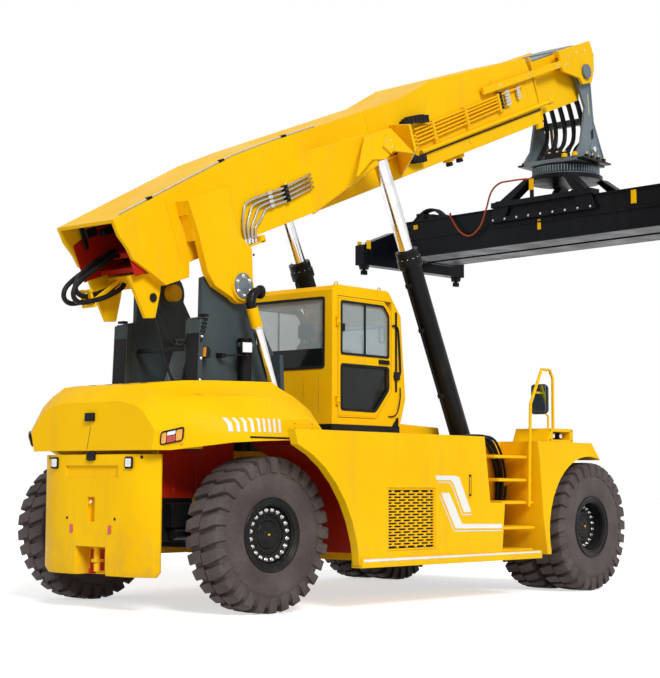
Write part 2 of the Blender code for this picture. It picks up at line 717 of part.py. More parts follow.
# Share of the well's length where a tread starts and ends, share of the deck's height
TREAD_SHARES = ((0.36, 1.005, 0.905), (0.44, 1.035, 0.755), (0.49, 1.06, 0.61), (0.52, 1.08, 0.448))
DECK_STRIP = 0.30
DECK_END_SHARE = 0.60
FENDER_SHARES = ((0, 1), (0.03, 0.83), (0.08, 0.32), (0.14, 0))
FENDER_NOSE_SHARES = ((0.85, 1), (0.99, 0.845))
FENDER_LENGTH = 1.48
FENDER_FOOT = 0.50
FENDER_SHEET = 0.05
ARCH_MIDDLE = (WHEELBASE - 0.095, AXLE_Z - 0.035)
ARCH_REACH = 0.115
FENDER_Y = TWIN_INNER_Y - TWIN_WIDTH / 2 - 0.004
TIE_LENGTH = 0.50
TIE_X = WHEELBASE - 0.64
TIE_DEPTH = 0.16
LAMP_BOX_X = WHEELBASE - 1.02
LAMP_BOX_SIZE = (0.60, 0.17)
LAMP_BOX_SHARES = ((0, 0), (1, 0), (1, 1), (0.13, 1))
LAMP_BOX_Y = (BODY_HALF - 0.55, BODY_HALF - 0.03)
LAMP_WINDOW_SHARES = ((0.22, 0.18), (0.88, 0.76))
RAIL_RADIUS = 0.022
RAIL_Y = BODY_HALF - 0.08
RAIL_SIZE = (0.56, 1.72)
RAIL_BACK = WHEELBASE - 1.365
RAIL_SHARES = ((0, 0), (0.09, 0.74), (0.55, 1), (0.88, 1), (1, 0.94))
RAIL_TOP = DECK_TOP + 0.91
LINER_PLATE = 0.10
LINER_INNER = 0.70
LINER_SHARES = ((0.83, 0), (1, 0), (1, 1), (0, 1), (0, 0.96), (0.70, 0.81), (0.83, 0.49))
LINER_LENGTH = 0.597
LINER_HEIGHT = 1.23
MIRROR_Z = RAIL_TOP - 0.30
MIRROR_X = RAIL_BACK + 0.285
MIRROR_REACH = 0.15
MIRROR_SIZE = (0.08, 0.24, 0.38)
MIRROR_ARM = 0.012


def build_sides(base):
    foot = SKIRT_Z - STRIP_DROP / 2
    skin_size = (SKIN_END - TYRE_RADIUS, SKIN_TOP - foot)

    def tank():
        low, high = -BODY_HALF + TANK_INSET, -RAIL_OUT - GAP
        pieces = [block((TANK_REAR, low, SKIRT_Z), (TANK_FRONT, high, DECK_TOP)),
                  block((TANK_FRONT - OVERRUN, -WELL_Y, SKIRT_Z), (WELL_FRONT, high, WELL_TOP)),
                  block((TANK_FRONT - OVERRUN, low, SKIRT_Z),
                        (WELL_FRONT, -WELL_Y + OVERRUN, SKIRT_Z + PAN_PLATE))]
        skin = outline((SKIN_END, foot), skin_size, SKIN_FRONT_SHARES)
        skin += [(-SKIN_START + TYRE_RADIUS / 2, SKIN_TOP)] + arc(SKIN_CURVE, SKIN_CURVE_RADIUS, 71, 5, 7)
        skin += [(SKIN_CURVE[0] + SKIN_CURVE_RADIUS, foot)]
        pieces.append(plate(skin, "Y", -BODY_HALF, -BODY_HALF + SKIN))
        strip_x = SKIN_CURVE[0] + SKIN_CURVE_RADIUS
        strip_z = SKIRT_Z - STRIP_DROP
        pieces.append(block((strip_x, -BODY_HALF - STRIP_OUT, strip_z),
                            (WELL_FRONT + STRIP_OUT, low + STRIP_OUT, strip_z + STRIP_HEIGHT)))
        ledge_length, ledge_width, ledge_depth = LEDGE
        pieces.append(block((TANK_REAR - ledge_length, low - FENDER_SHEET / 5, SKIN_TOP - ledge_depth),
                            (TANK_REAR + OVERRUN, low + ledge_width, SKIN_TOP)))
        pocket = block((VENT_X, -BODY_HALF - OVERRUN, VENT_Z),
                       (VENT_X + VENT_LENGTH, -BODY_HALF + VENT_DEPTH, VENT_Z + VENT_HEIGHT))
        return cut(joined(pieces), [pocket])
    both_sides(tank, "side_tank", "yellow_paint", base)

    def grille():
        x0, x1 = VENT_X + GAP, VENT_X + VENT_LENGTH - GAP
        z0, z1 = VENT_Z + GAP, VENT_Z + VENT_HEIGHT - GAP
        body = block((x0, -BODY_HALF + VENT_FACE, z0), (x1, -BODY_HALF + VENT_DEPTH - GAP, z1))
        pitch_x = (x1 - x0 - 2 * VENT_BORDER) / (VENT_COLUMNS + 0.5)
        pitch_z = (z1 - z0 - 2 * VENT_BORDER) / VENT_ROWS
        long, tall = pitch_x * VENT_SLOT_SHARES[0], pitch_z * VENT_SLOT_SHARES[1]
        holes = []
        for row in range(VENT_ROWS):
            z = z0 + VENT_BORDER + (row + 0.5) * pitch_z
            for column in range(VENT_COLUMNS):
                x = x0 + VENT_BORDER + (column + 0.5 + 0.5 * (row % 2)) * pitch_x
                holes.append(block((x - long / 2, -BODY_HALF - OVERRUN, z - tall / 2),
                                   (x + long / 2, -BODY_HALF + VENT_BORDER, z + tall / 2)))
        return cut(body, holes)
    both_sides(grille, "grille", "yellow_paint", base)

    def steps():
        back, front = TANK_FRONT + GAP, WELL_FRONT - GAP
        span, floor = front - back, SKIRT_Z + PAN_PLATE + GAP
        wall_y = -WELL_Y - GAP
        pieces = [block((back, wall_y - STEP_WALL, floor), (front, wall_y, DECK_TOP - STEP_PLATE)),
                  block((back, wall_y - STEP_WALL, DECK_TOP - 2 * STEP_PLATE),
                        (front, -WELL_Y + DECK_STRIP, DECK_TOP)),
                  block((back, wall_y, DECK_TOP - 2 * STEP_PLATE),
                        (back + span * DECK_END_SHARE, -RAIL_OUT - GAP, DECK_TOP))]
        for start, end, level in TREAD_SHARES:
            z = FRAME_TOP + DECK_RISE - (1 - level) * DECK_TOP
            pieces.append(block((back + start * span, -STEP_OUT, z - STEP_PLATE),
                                (back + end * span, wall_y - STEP_WALL / 2, z)))
        return joined(pieces)
    both_sides(steps, "steps", "yellow_paint", base)

    def fender():
        corner, size = (WELL_FRONT + GAP, FENDER_FOOT), (FENDER_LENGTH, DECK_TOP - FENDER_FOOT)
        shape = outline(corner, size, FENDER_NOSE_SHARES)
        shape += arc(ARCH_MIDDLE, TYRE_RADIUS + ARCH_REACH, 76, 198, 12)
        shape += outline(corner, size, FENDER_SHARES[::-1])
        body = plate(shape, "Y", -BODY_HALF, -FENDER_Y)
        rear = outline(corner, size, FENDER_SHARES)
        hollow = [(x + FENDER_SHEET, z) for x, z in rear]
        hollow[0] = (hollow[0][0], DECK_TOP - FENDER_SHEET)
        hollow[-1] = (hollow[-1][0] + FENDER_SHEET / 2, FENDER_FOOT - OVERRUN)
        tip = corner[0] + size[0] + OVERRUN
        hollow += [(tip, FENDER_FOOT - OVERRUN), (tip, ARCH_MIDDLE[1] + TYRE_RADIUS),
                   (corner[0] + size[0] * FENDER_NOSE_SHARES[0][0], DECK_TOP - FENDER_SHEET)]
        body = cut(body, [plate(hollow, "Y", -BODY_HALF + FENDER_SHEET, -FENDER_Y + OVERRUN)])
        tie_y = (-FENDER_Y - FENDER_SHEET, -RAIL_OUT - GAP)
        tie = block((TIE_X, tie_y[0], DECK_TOP - TIE_DEPTH),
                    (TIE_X + TIE_LENGTH, tie_y[1], DECK_TOP - FENDER_SHEET / 2))
        return joined([body, tie])
    both_sides(fender, "front_fender", "yellow_paint", base)

    def lamp_box():
        corner = (LAMP_BOX_X, DECK_TOP + GAP)
        body = plate(outline(corner, LAMP_BOX_SIZE, LAMP_BOX_SHARES), "Y", -LAMP_BOX_Y[1], -LAMP_BOX_Y[0])
        (x0, z0), (x1, z1) = outline(corner, LAMP_BOX_SIZE, LAMP_WINDOW_SHARES)
        return cut(body, [block((x0, -LAMP_BOX_Y[1] - OVERRUN, z0),
                                (x1, -(LAMP_BOX_Y[0] + LAMP_BOX_Y[1]) / 2, z1))])
    both_sides(lamp_box, "lamp_box", "yellow_paint", base)

    def rail():
        loop = outline((RAIL_BACK, RAIL_TOP - RAIL_SIZE[1]), RAIL_SIZE, RAIL_SHARES)
        loop.append((loop[-1][0], DECK_TOP + LAMP_BOX_SIZE[1] + 2 * GAP))
        arm_end = MIRROR_X - MIRROR_SIZE[0] / 2 - GAP
        arm = block((MIRROR_X - MIRROR_REACH, -RAIL_Y - MIRROR_ARM, MIRROR_Z - MIRROR_ARM),
                    (arm_end, -RAIL_Y + MIRROR_ARM, MIRROR_Z + MIRROR_ARM))
        return joined([pipe([(x, -RAIL_Y, z) for x, z in loop], RAIL_RADIUS), arm])
    both_sides(rail, "hand_rail", "yellow_paint", base)

    def liner():
        corner = (TANK_REAR - GAP - LINER_LENGTH, BELLY_Z - DECK_PLATE / 2)
        return plate(outline(corner, (LINER_LENGTH, LINER_HEIGHT), LINER_SHARES), "Y",
                     -BODY_HALF + SKIN + GAP + OVERRUN / 5, -LINER_INNER)
    both_sides(liner, "arch_liner", "red_paint", base)

    def mirror():
        return centred((MIRROR_X, -RAIL_Y, MIRROR_Z - MIRROR_SIZE[0]), MIRROR_SIZE)
    both_sides(mirror, "mirror", "black_plastic", base)


# Cab. Its side view is given in shares of its length and height.

CAB_X = 1.98
CAB_FLOOR = FRAME_TOP + 0.35
CAB_HALF = CAB_WIDTH / 2
CAB_WALL = 0.06
CAB_SHARES = ((0, 0), (1, 0), (1.09, 0.21), (1.015, 0.83), (0.83, 1), (0.045, 1), (0, 0.965))
CAB_ROOM_SHARES = ((0.046, -0.06), (0.954, -0.06), (1.038, 0.227), (0.965, 0.81), (0.80, 0.964),
                   (0.046, 0.964))
FLOOR_PLATE = 0.12
MOUNT_SHARES = (0.055, 0.83)
MOUNT_SIZE = 0.12
MOUNT_Y = 0.50
REAR_SIDE = 0.12
REAR_WINDOW_SHARES = (0.545, 0.916)
REAR_WINDOW_INSET = 0.022
GLASS_PLATE = 0.008
FRONT_SIDE = 0.08
FRONT_WINDOW_SHARES = (0.252, 0.772)
FRONT_GLASS_SHARES = ((1.023, 0.252), (1.0385, 0.252), (1.0155, 0.772), (1.0, 0.772))
DOOR_SHARES = ((0.077, 0.048), (0.877, 0.928))
DOOR_GAP = 0.006
DOOR_PLATE = 0.04
DOOR_BORDER = 0.06
DOOR_CORNER = (0.14, 0.12)
DOOR_CUT_CORNER = (0.30, 0.34)
DOOR_GLASS_SHARE = 0.525
DOOR_LOW_SHARES = (0.06, 0.44)
HINGE_OUT = 0.022
HINGE_SHARES = (0.17, 0.74)
HINGE_PIN = 0.010
HINGE_HALF = 0.06
HINGE_EYE = 0.018
HINGE_EYE_HALF = 0.03
HINGE_ARM_HALF = 0.024
HINGE_BACK = 0.03
HINGE_TAB = (0.036, 0.02)
HINGE_TAB_LEVELS = (-0.055, 0.035)
HINGE_ARM_SHARES = ((0.033, -0.533), (1.167, -0.533), (1.167, -1), (2, -1), (2, -0.133), (0.033, 0.133))
GRIP_SIZE = (0.08, 0.03, 0.04)
SEAT_X = 0.57
SEAT_BASE = (0.36, 0.36, 0.42)
SEAT_PAD = (0.52, 0.52, 0.14)
SEAT_BACK = (0.22, 0.61)
SEAT_BACK_SHARES = ((0.45, 0), (1, 0), (0.45, 1), (0, 1))
SEAT_BACK_HALF = 0.24
HEAD_REST = (0.09, 0.26, 0.26)
DESK_X = 1.12
DESK_SIZE = (0.14, 0.30, 0.80)
COLUMN_RADIUS = 0.03
COLUMN_RUN = (0.16, 0.16)
STEERING_WHEEL = 0.19
WHEEL_PLATE = 0.025


def cab_outline(shares):
    return outline((CAB_X, CAB_FLOOR), (CAB_LENGTH, CAB_HEIGHT), shares)


def build_cab(base):
    x0, x1, z0, z1 = CAB_X, CAB_X + CAB_LENGTH, CAB_FLOOR, CAB_FLOOR + CAB_HEIGHT
    pieces = [block((x0, -CAB_HALF, z0 - FLOOR_PLATE), (x1, CAB_HALF, z0))]
    for share in MOUNT_SHARES:
        for y in (-MOUNT_Y, MOUNT_Y):
            x = x0 + share * CAB_LENGTH
            pieces.append(block((x, y - MOUNT_SIZE / 2, FRAME_TOP + GAP),
                                (x + MOUNT_SIZE, y + MOUNT_SIZE / 2, z0 - FLOOR_PLATE / 2)))
    finish(joined(pieces), "cab_floor", "black_paint", base)
    shape = cab_outline(CAB_SHARES)
    shape[:2] = [(x, z + GAP) for x, z in shape[:2]]
    outer = plate(shape, "Y", -CAB_HALF, CAB_HALF)
    low, high = [z0 + share * CAB_HEIGHT for share in REAR_WINDOW_SHARES]
    front_low, front_high = [z0 + share * CAB_HEIGHT for share in FRONT_WINDOW_SHARES]
    (dx0, dz0), (dx1, dz1) = cab_outline(DOOR_SHARES)
    cuts = [plate(cab_outline(CAB_ROOM_SHARES), "Y", -CAB_HALF + CAB_WALL, CAB_HALF - CAB_WALL),
            block((x0 - OVERRUN, -CAB_HALF + REAR_SIDE, low),
                  (x0 + OVERRUN + CAB_WALL, CAB_HALF - REAR_SIDE, high)),
            block((x1 - 2 * CAB_WALL, -CAB_HALF + FRONT_SIDE, front_low),
                  (x1 + 4 * CAB_WALL, CAB_HALF - FRONT_SIDE, front_high)),
            plate([(dx0, dz0), (dx1 - DOOR_CUT_CORNER[0], dz0), (dx1, dz0 + DOOR_CUT_CORNER[1]), (dx1, dz1),
                   (dx0, dz1)],
                  "Y", -CAB_HALF - OVERRUN, CAB_HALF + OVERRUN)]
    shell = cut(outer, cuts)
    hinges = []
    hinge_x = dx0 + DOOR_GAP - HINGE_BACK
    for side, word in SIDES:
        for share in HINGE_SHARES:
            z = z0 + share * CAB_HEIGHT
            y = side * (CAB_HALF + HINGE_OUT)
            hinges.append(rod((hinge_x, y, z - HINGE_HALF), (hinge_x, y, z + HINGE_HALF), HINGE_PIN, 16))
            for level in HINGE_TAB_LEVELS:
                tab = (hinge_x - HINGE_TAB[1], hinge_x + HINGE_TAB[1] * 0.8)
                hinges.append(sided_block(side, tab, (CAB_HALF - HINGE_PIN, CAB_HALF + HINGE_TAB[0]),
                                          (z + level, z + level + HINGE_TAB[1])))
    finish(joined([shell] + hinges), "cab_shell", "yellow_paint", base)
    glass_x = x0 + REAR_WINDOW_INSET
    glass_y = CAB_HALF - REAR_SIDE - GAP
    finish(block((glass_x, -glass_y, low + GAP), (glass_x + GLASS_PLATE, glass_y, high - GAP)), "rear_window",
           "dark_glass", base)
    screen = cab_outline(FRONT_GLASS_SHARES)
    screen = [(x, z + (GAP if z < z1 - CAB_HEIGHT / 2 else -GAP)) for x, z in screen]
    glass_y = CAB_HALF - FRONT_SIDE - GAP
    finish(plate(screen, "Y", -glass_y, glass_y), "windscreen", "dark_glass", base)
    build_doors(base, dx0 + DOOR_GAP, dx1 - DOOR_GAP, dz0 + DOOR_GAP, dz1 - DOOR_GAP)
    build_seat(base)


def build_doors(base, x0, x1, z0, z1):
    width, height = x1 - x0, z1 - z0
    for side, word in SIDES:
        hinge = carrier("door_axis_" + word, (x0 - HINGE_BACK, side * (CAB_HALF + HINGE_OUT), 0), base)
        half = DOOR_PLATE / 2
        shift = (HINGE_BACK, -side * (HINGE_OUT + half), 0)
        leaf = plate([(0, z0), (width - DOOR_CUT_CORNER[0], z0), (width, z0 + DOOR_CUT_CORNER[1]),
                      (width, z1 - DOOR_CORNER[1]), (width - DOOR_CORNER[0], z1), (0, z1)],
                     "Y", -half, half)
        sill = z0 + DOOR_GLASS_SHARE * height
        low, high = [z0 + share * height for share in DOOR_LOW_SHARES]
        lower = [(DOOR_BORDER, low), (width - DOOR_CUT_CORNER[0] - DOOR_BORDER / 3, low),
                 (width - DOOR_BORDER, z0 + DOOR_CUT_CORNER[1] + DOOR_BORDER / 3), (width - DOOR_BORDER,
                                                                                    high), (DOOR_BORDER,
                                                                                            high)]
        pane = [(DOOR_BORDER, sill), (width - DOOR_BORDER, sill),
                (width - DOOR_BORDER, z1 - DOOR_CORNER[1] - DOOR_BORDER),
                (width - DOOR_CORNER[0] - DOOR_BORDER / 2, z1 - DOOR_BORDER), (DOOR_BORDER, z1 - DOOR_BORDER)]
        leaf = cut(leaf, [plate(lower, "Y", -OVERRUN, OVERRUN), plate(pane, "Y", -OVERRUN, OVERRUN)])
        moved(leaf, shift)
        for share in HINGE_SHARES:
            z = CAB_FLOOR + share * CAB_HEIGHT
            arm = plate([(x * HINGE_BACK, side * y * HINGE_BACK) for x, y in HINGE_ARM_SHARES], "Z",
                        z - HINGE_ARM_HALF, z + HINGE_ARM_HALF)
            eye = rod((0, 0, z - HINGE_EYE_HALF), (0, 0, z + HINGE_EYE_HALF), HINGE_EYE, 16)
            bore = rod((0, 0, z - HINGE_EYE_HALF - OVERRUN), (0, 0, z + HINGE_EYE_HALF + OVERRUN),
                       HINGE_PIN + RUN, 16)
            leaf = cut(joined([leaf, arm, eye]), [bore])
        grip_z = sill - DOOR_BORDER
        grip_x = width - GRIP_SIZE[0] / 8
        grip = sided_block(side, (grip_x - GRIP_SIZE[0], grip_x), (-GRIP_SIZE[1], 0),
                           (grip_z - GRIP_SIZE[2] / 2, grip_z + GRIP_SIZE[2] / 2))
        finish(joined([leaf, grip]), "door_" + word, "yellow_paint", hinge)
        inner = [(min(max(x, DOOR_BORDER + GAP), width - DOOR_BORDER - GAP),
                  min(max(z, sill + GAP), z1 - DOOR_BORDER - GAP)) for x, z in pane]
        inner[2:4] = [(inner[2][0], inner[2][1] - GAP), (inner[3][0] - GAP, inner[3][1])]
        glass = moved(plate(inner, "Y", -GLASS_PLATE / 2, GLASS_PLATE / 2), shift)
        finish(glass, "door_glass_" + word, "dark_glass", hinge)


def build_seat(base):
    x, z = CAB_X + SEAT_X, CAB_FLOOR + GAP
    pad_z = z + SEAT_BASE[2] + SEAT_PAD[2] / 3
    back = (x - SEAT_PAD[0] / 2, pad_z)
    back_top = back[1] + SEAT_BACK[1]
    seat = joined([block((x - SEAT_BASE[0] / 2, -SEAT_BASE[1] / 2, z),
                         (x + SEAT_BASE[0] / 2, SEAT_BASE[1] / 2, z + SEAT_BASE[2])),
                   centred((x + HEAD_REST[0] / 2, 0, pad_z), SEAT_PAD),
                   plate(outline(back, SEAT_BACK, SEAT_BACK_SHARES), "Y", -SEAT_BACK_HALF, SEAT_BACK_HALF),
                   centred((back[0] + HEAD_REST[0] / 2, 0, back_top + HEAD_REST[2] / 3), HEAD_REST)])
    finish(seat, "driver_seat", "seat_cloth", base)
    x = CAB_X + DESK_X
    head = z + DESK_SIZE[2] - COLUMN_RADIUS
    low = Vector((x, 0, head - 2 * COLUMN_RADIUS))
    top = low + Vector((-COLUMN_RUN[0], 0, COLUMN_RUN[1]))
    lean = (top - low).normalized()
    desk = joined([block((x - DESK_SIZE[0] / 2, -DESK_SIZE[1] / 2, z),
                         (x + DESK_SIZE[0] / 2, DESK_SIZE[1] / 2, z + DESK_SIZE[2])),
                   rod(low, top, COLUMN_RADIUS, 10), rod(top - lean * WHEEL_PLATE / 2,
                                                         top + lean * WHEEL_PLATE / 2, STEERING_WHEEL, 20)])
    finish(desk, "steering_console", "black_plastic", base)


# Boom. In its own frame X runs along the boom from the pivot and Z stands square to it.

BOOM_FLOOR = 0.44
BOOM_TAIL = 1.44
BOOM_WALL = 0.04
BOOM_TOP_SHARES = ((1, 0), (0.995, 0.70), (0.985, 1.01), (0.7095, 1.125), (0.626, 1.02), (0.315, 1.02),
                   (0.241, 1.0), (0, 0.76))
BOOM_TAIL_SHARES = ((0.003, 0.57), (0.012, 0.40), (0.016, 0.26), (0.039, 0.05), (0.059, -0.15),
                    (0.102, -0.165), (0.109, 0))
ROOM_SHARES = ((-0.06, 0.04), (1.06, 0.04), (1.06, 0.96), (0.242, 0.96), (-0.06, 0.66))
EAR_Y = (0.575, 0.665)
EAR_SHARES = ((-0.48, 1.12), (-0.45, 0.77), (-0.46, 0.29), (-0.40, 0.12))
EAR_FRONT_SHARES = ((0.32, 0.35), (0.18, 0.56), (0.20, 1.12))
EAR_ROUND = 0.20
# Places of the webs between box and ear: start and end along, lower and upper level
EAR_WEB_SHARES = ((-0.48, 0.20, 0.96, 1.12), (0.10, 0.18, 0.62, 1.0), (-0.46, -0.38, 0.66, 1.0))
PIN_INNER = 0.40
CAP_RADIUS = 0.17
CAP_REACH = 0.035
FIN_SHARES = ((-1.32, 0.52), (-1.24, 0.02), (-1.10, -0.02), (-0.92, 0.24), (-0.80, 0.50))
FIN_Y = (0.30, 0.34)
LIFT_TOP = (2.68, 1.00)
WING_Y = (1.055, 1.085)
WING_BOSS = 0.16
WING_BOSS_END = 0.77
# Wing outline counted from the lift pin
WING_SHARES = ((-0.38, 0.19), (0.13, 0.18), (0.49, -0.22), (0.09, -0.10), (-0.10, -0.16), (-0.37, -0.11),
               (-0.71, -0.24))
WING_CAP = 0.12
GUSSET_PLATE = 0.05
REAR_GUSSET = ((1.75, 0.42, 1.19), (2.38, 0.80, 1.19))
FRONT_GUSSET = ((3.62, 0.46, 1.14), (3.20, 0.80, 1.14))
LAMP_PLACES = (4.87, 5.12)
LAMP_SIZE = (0.10, 0.12, 0.07)
LAMP_Y = 0.34
INNER_HALF = 0.36
INNER_START = 0.47
INNER_FLOOR = 0.53
INNER_DEPTH = 0.78
INNER_SHARES = ((0, 0), (0.955, 0), (0.970, 0.42), (1, 0.47), (1, 1), (0, 1))
INNER_ROOM_SHARES = ((-0.03, 0.05), (0.945, 0.05), (0.945, 0.95), (-0.03, 0.95))
HEAD_PIN = (HEAD_REACH, 0.93)
HEAD_Y = (0.50, 0.54)
HEAD_SHARES = ((-0.62, 0.12), (-0.20, -0.06), (-0.14, -0.17), (0.12, -0.19), (0.26, -0.02), (0.34, 0.20),
               (0.30, 0.42), (-0.62, 0.42))
HEAD_WEB = (0.16, 0.10)
HEAD_BAR = (2.76, 0.10)
PAD_PLACES = (0.25, 6.35)
PAD_LENGTH = 0.30
PAD_HALF = 0.20
HANGER_PIN = 0.07
HANGER_HEAD = 0.17
HANGER_Y = (0.42, 0.46)
HANGER_CAP = 0.11
HANGER_SHARES = ((0.254, -0.095), (0.324, -0.471), (0.66, -0.88), (0.66, -0.93))
HANGER_BACK_SHARES = ((-0.17, -0.93), (-0.14, -0.85), (-0.02, -0.76), (0.12, -0.36))
FLOOR_RISE = 0.10
FLOOR_LIFT = 0.06
DAMPER_RADIUS = 0.055
DAMPER_Y = 0.30
CROSS_SIZE = (0.08, 0.10)
SLEW_FORWARD = 0.28
RING_RADIUS = 0.50
TABLE_RADIUS = 0.56
RING_DEPTH = 0.175
TABLE_DEPTH = 0.07
LEG_HEAD = ((0.30, 0.50), (0.30, 0.42))
LEG_FOOT = ((0.46, 0.62), (0.62, 0.86))
LEG_DROP = (0.10, 0.44)
SKID_X = 0.55
SKID_SIZE = (0.20, 1.90, 0.08)
CHANNEL_X = 0.32
CHANNEL_WIDTH = 0.50
CHANNEL_DEPTH = 0.60
CHANNEL_LENGTH = 5.10
CHANNEL_WALL = 0.04
CHANNEL_TIE = (0.20, 1.80)
BEAM_START = 1.90
BEAM_END = 2.86
HEAD_BEAM = 0.20
HEAD_BEAM_SHARES = ((-0.545, 0), (0.545, 0), (0.545, 0.53), (0.22, 1), (-0.22, 1), (-0.545, 0.53))
LOCK_RADIUS = 0.03
LOCK_DROP = 0.12
LOCK_HEAD = (0.10, 0.06, 0.07)


def build_boom(base):
    boom = carrier("boom_axis", PIVOT, base, (0, -BOOM_ANGLE, 0))
    corner, size = (-BOOM_TAIL, BOOM_FLOOR), (BOOM_REACH + BOOM_TAIL, BOOM_DEPTH)
    shape = outline(corner, size, BOOM_TOP_SHARES + BOOM_TAIL_SHARES)
    shell = plate(shape, "Y", -BOOM_HALF, BOOM_HALF)
    room = plate(outline(corner, size, ROOM_SHARES), "Y", -BOOM_HALF + BOOM_WALL, BOOM_HALF - BOOM_WALL)
    shell = cut(shell, [room])
    inside = BOOM_HALF - BOOM_WALL / 2
    pieces = []
    for side, word in SIDES:
        ear = list(EAR_SHARES) + arc((0, 0), EAR_ROUND, 205, 330, 7) + list(EAR_FRONT_SHARES)
        pieces.append(sided_plate(ear, side, *EAR_Y))
        for start, end, low, high in EAR_WEB_SHARES:
            pieces.append(sided_block(side, (start, end), (inside, EAR_Y[0] + BOOM_WALL / 2), (low, high)))
        pieces.append(sided_rod((0, 0), side, PIN_INNER, EAR_Y[1] + CAP_REACH + LAP, PIVOT_PIN, 32))
        pieces.append(sided_rod((0, 0), side, EAR_Y[1] - CAP_REACH, EAR_Y[1] + CAP_REACH, CAP_RADIUS, 24))
        pieces.append(sided_plate(FIN_SHARES, side, *FIN_Y))
        pieces += lift_wing(side, inside)
        for along in LAMP_PLACES:
            middle = (along, side * LAMP_Y, BOOM_FLOOR - LAMP_SIZE[2] / 3)
            pieces.append(centred(middle, LAMP_SIZE))
    finish(joined([shell] + pieces), "boom_outer", "yellow_paint", boom)
    build_boom_fittings(boom)
    slide = carrier("extension_axis", (0, 0, 0), boom)
    build_inner_boom(slide)
    build_hanger(slide)


def lift_wing(side, inside):
    pieces = [sided_rod(LIFT_TOP, side, inside, WING_BOSS_END, WING_BOSS, 20)]
    pieces.append(sided_plate(shifted(LIFT_TOP, WING_SHARES), side, *WING_Y))
    cap = [(LIFT_TOP[0] + WING_CAP * x, LIFT_TOP[1] + WING_CAP * z) for x,
           z in ((1, 0), (0, 1), (-1, 0), (0, -1))]
    pieces.append(sided_plate(cap, side, WING_Y[0] + GUSSET_PLATE / 3, WING_Y[1] + GUSSET_PLATE / 2))
    outside = (WING_Y[0] + WING_Y[1]) / 2
    for near, far in (REAR_GUSSET, FRONT_GUSSET):
        rings = []
        for y, (x, low, high) in ((inside, near), (outside, far)):
            rings.append([Vector((x, side * y, low)), Vector((x + GUSSET_PLATE, side * y, low)),
                          Vector((x + GUSSET_PLATE, side * y, high)), Vector((x, side * y, high))])
        pieces.append(loft(rings))
    return pieces


def build_inner_boom(slide):
    corner, size = (INNER_START, INNER_FLOOR), (HEAD_PIN[0] + HEAD_WEB[0] * 2 - INNER_START, INNER_DEPTH)
    body = plate(outline(corner, size, INNER_SHARES), "Y", -INNER_HALF, INNER_HALF)
    room = outline(corner, size, INNER_ROOM_SHARES)
    body = cut(body, [plate(room, "Y", -INNER_HALF + BOOM_WALL, INNER_HALF - BOOM_WALL)])
    head = shifted(HEAD_PIN, HEAD_SHARES)
    top = HEAD_PIN[1] + HEAD_SHARES[-1][1]
    pieces = []
    for side, word in SIDES:
        pieces.append(sided_plate(head, side, *HEAD_Y))
        web_x = (HEAD_PIN[0] - HEAD_WEB[0] * 3, HEAD_PIN[0] + HEAD_WEB[0])
        pieces.append(sided_block(side, web_x, (INNER_HALF - BOOM_WALL / 2, HEAD_Y[1] - BOOM_WALL / 4),
                                  (top - HEAD_WEB[1], top - HEAD_WEB[1] / 10)))
        bar_x = (HEAD_PIN[0] - HEAD_BAR[0], HEAD_PIN[0] - HEAD_WEB[0])
        pieces.append(sided_block(side, bar_x, (HEAD_Y[0], HEAD_Y[1] - LAP / 10),
                                  (top - HEAD_WEB[1] - HEAD_BAR[1] - BOOM_WALL,
                                   top - HEAD_WEB[1] - BOOM_WALL)))
        for start in PAD_PLACES:
            x = INNER_START + start
            pieces.append(sided_block(side, (x, x + PAD_LENGTH),
                                      (INNER_HALF - BOOM_WALL / 2, BOOM_HALF - BOOM_WALL - SLIDE),
                                      (HEAD_PIN[1] - PAD_LENGTH / 2, HEAD_PIN[1])))
    for start in PAD_PLACES:
        x = INNER_START + start
        pieces.append(block((x, -PAD_HALF, INNER_FLOOR + INNER_DEPTH - BOOM_WALL / 2),
                            (x + PAD_LENGTH, PAD_HALF, BOOM_FLOOR + BOOM_DEPTH * 0.96 - SLIDE)))
        pieces.append(block((x, -PAD_HALF, BOOM_FLOOR + BOOM_DEPTH * 0.04 + SLIDE),
                            (x + PAD_LENGTH, PAD_HALF, INNER_FLOOR + BOOM_WALL / 2)))
    body = joined([body] + pieces)
    bores = [sided_rod(HEAD_PIN, side, HEAD_Y[0] - OVERRUN / 2, HEAD_Y[1] + OVERRUN, HANGER_PIN + RUN,
                       32) for side in (-1, 1)]
    finish(cut(body, bores), "boom_inner", "yellow_paint", slide)


def build_boom_fittings(boom):
    chain = [Vector((x, -CHAIN_Y, z)) for x, z in CHAIN_SHARES]
    rings = []
    for i, place in enumerate(chain):
        along = (chain[min(i + 1, len(chain) - 1)] - chain[max(i - 1, 0)]).normalized()
        square = Vector((-along.z, 0, along.x)) * CHAIN_DEPTH / 2
        wide = Vector((0, CHAIN_WIDTH / 2, 0))
        rings.append([place - square - wide, place + square - wide, place + square + wide,
                      place - square + wide])
    finish(loft(rings), "hose_chain", "black_plastic", boom)
    runs = []
    for start, end in PIPE_RUNS:
        runs.append(rod((start[0], -PIPE_Y, start[1]), (end[0], -PIPE_Y, end[1]), PIPE_RADIUS, 8))
    for x, low, high in PIPE_CLAMPS:
        runs.append(block((x, -PIPE_Y - PIPE_RADIUS * 1.5, low), (x + CLAMP_WIDTH, -BOOM_HALF - GAP, high)))
    finish(joined(runs), "boom_pipes", "yellow_paint", boom)


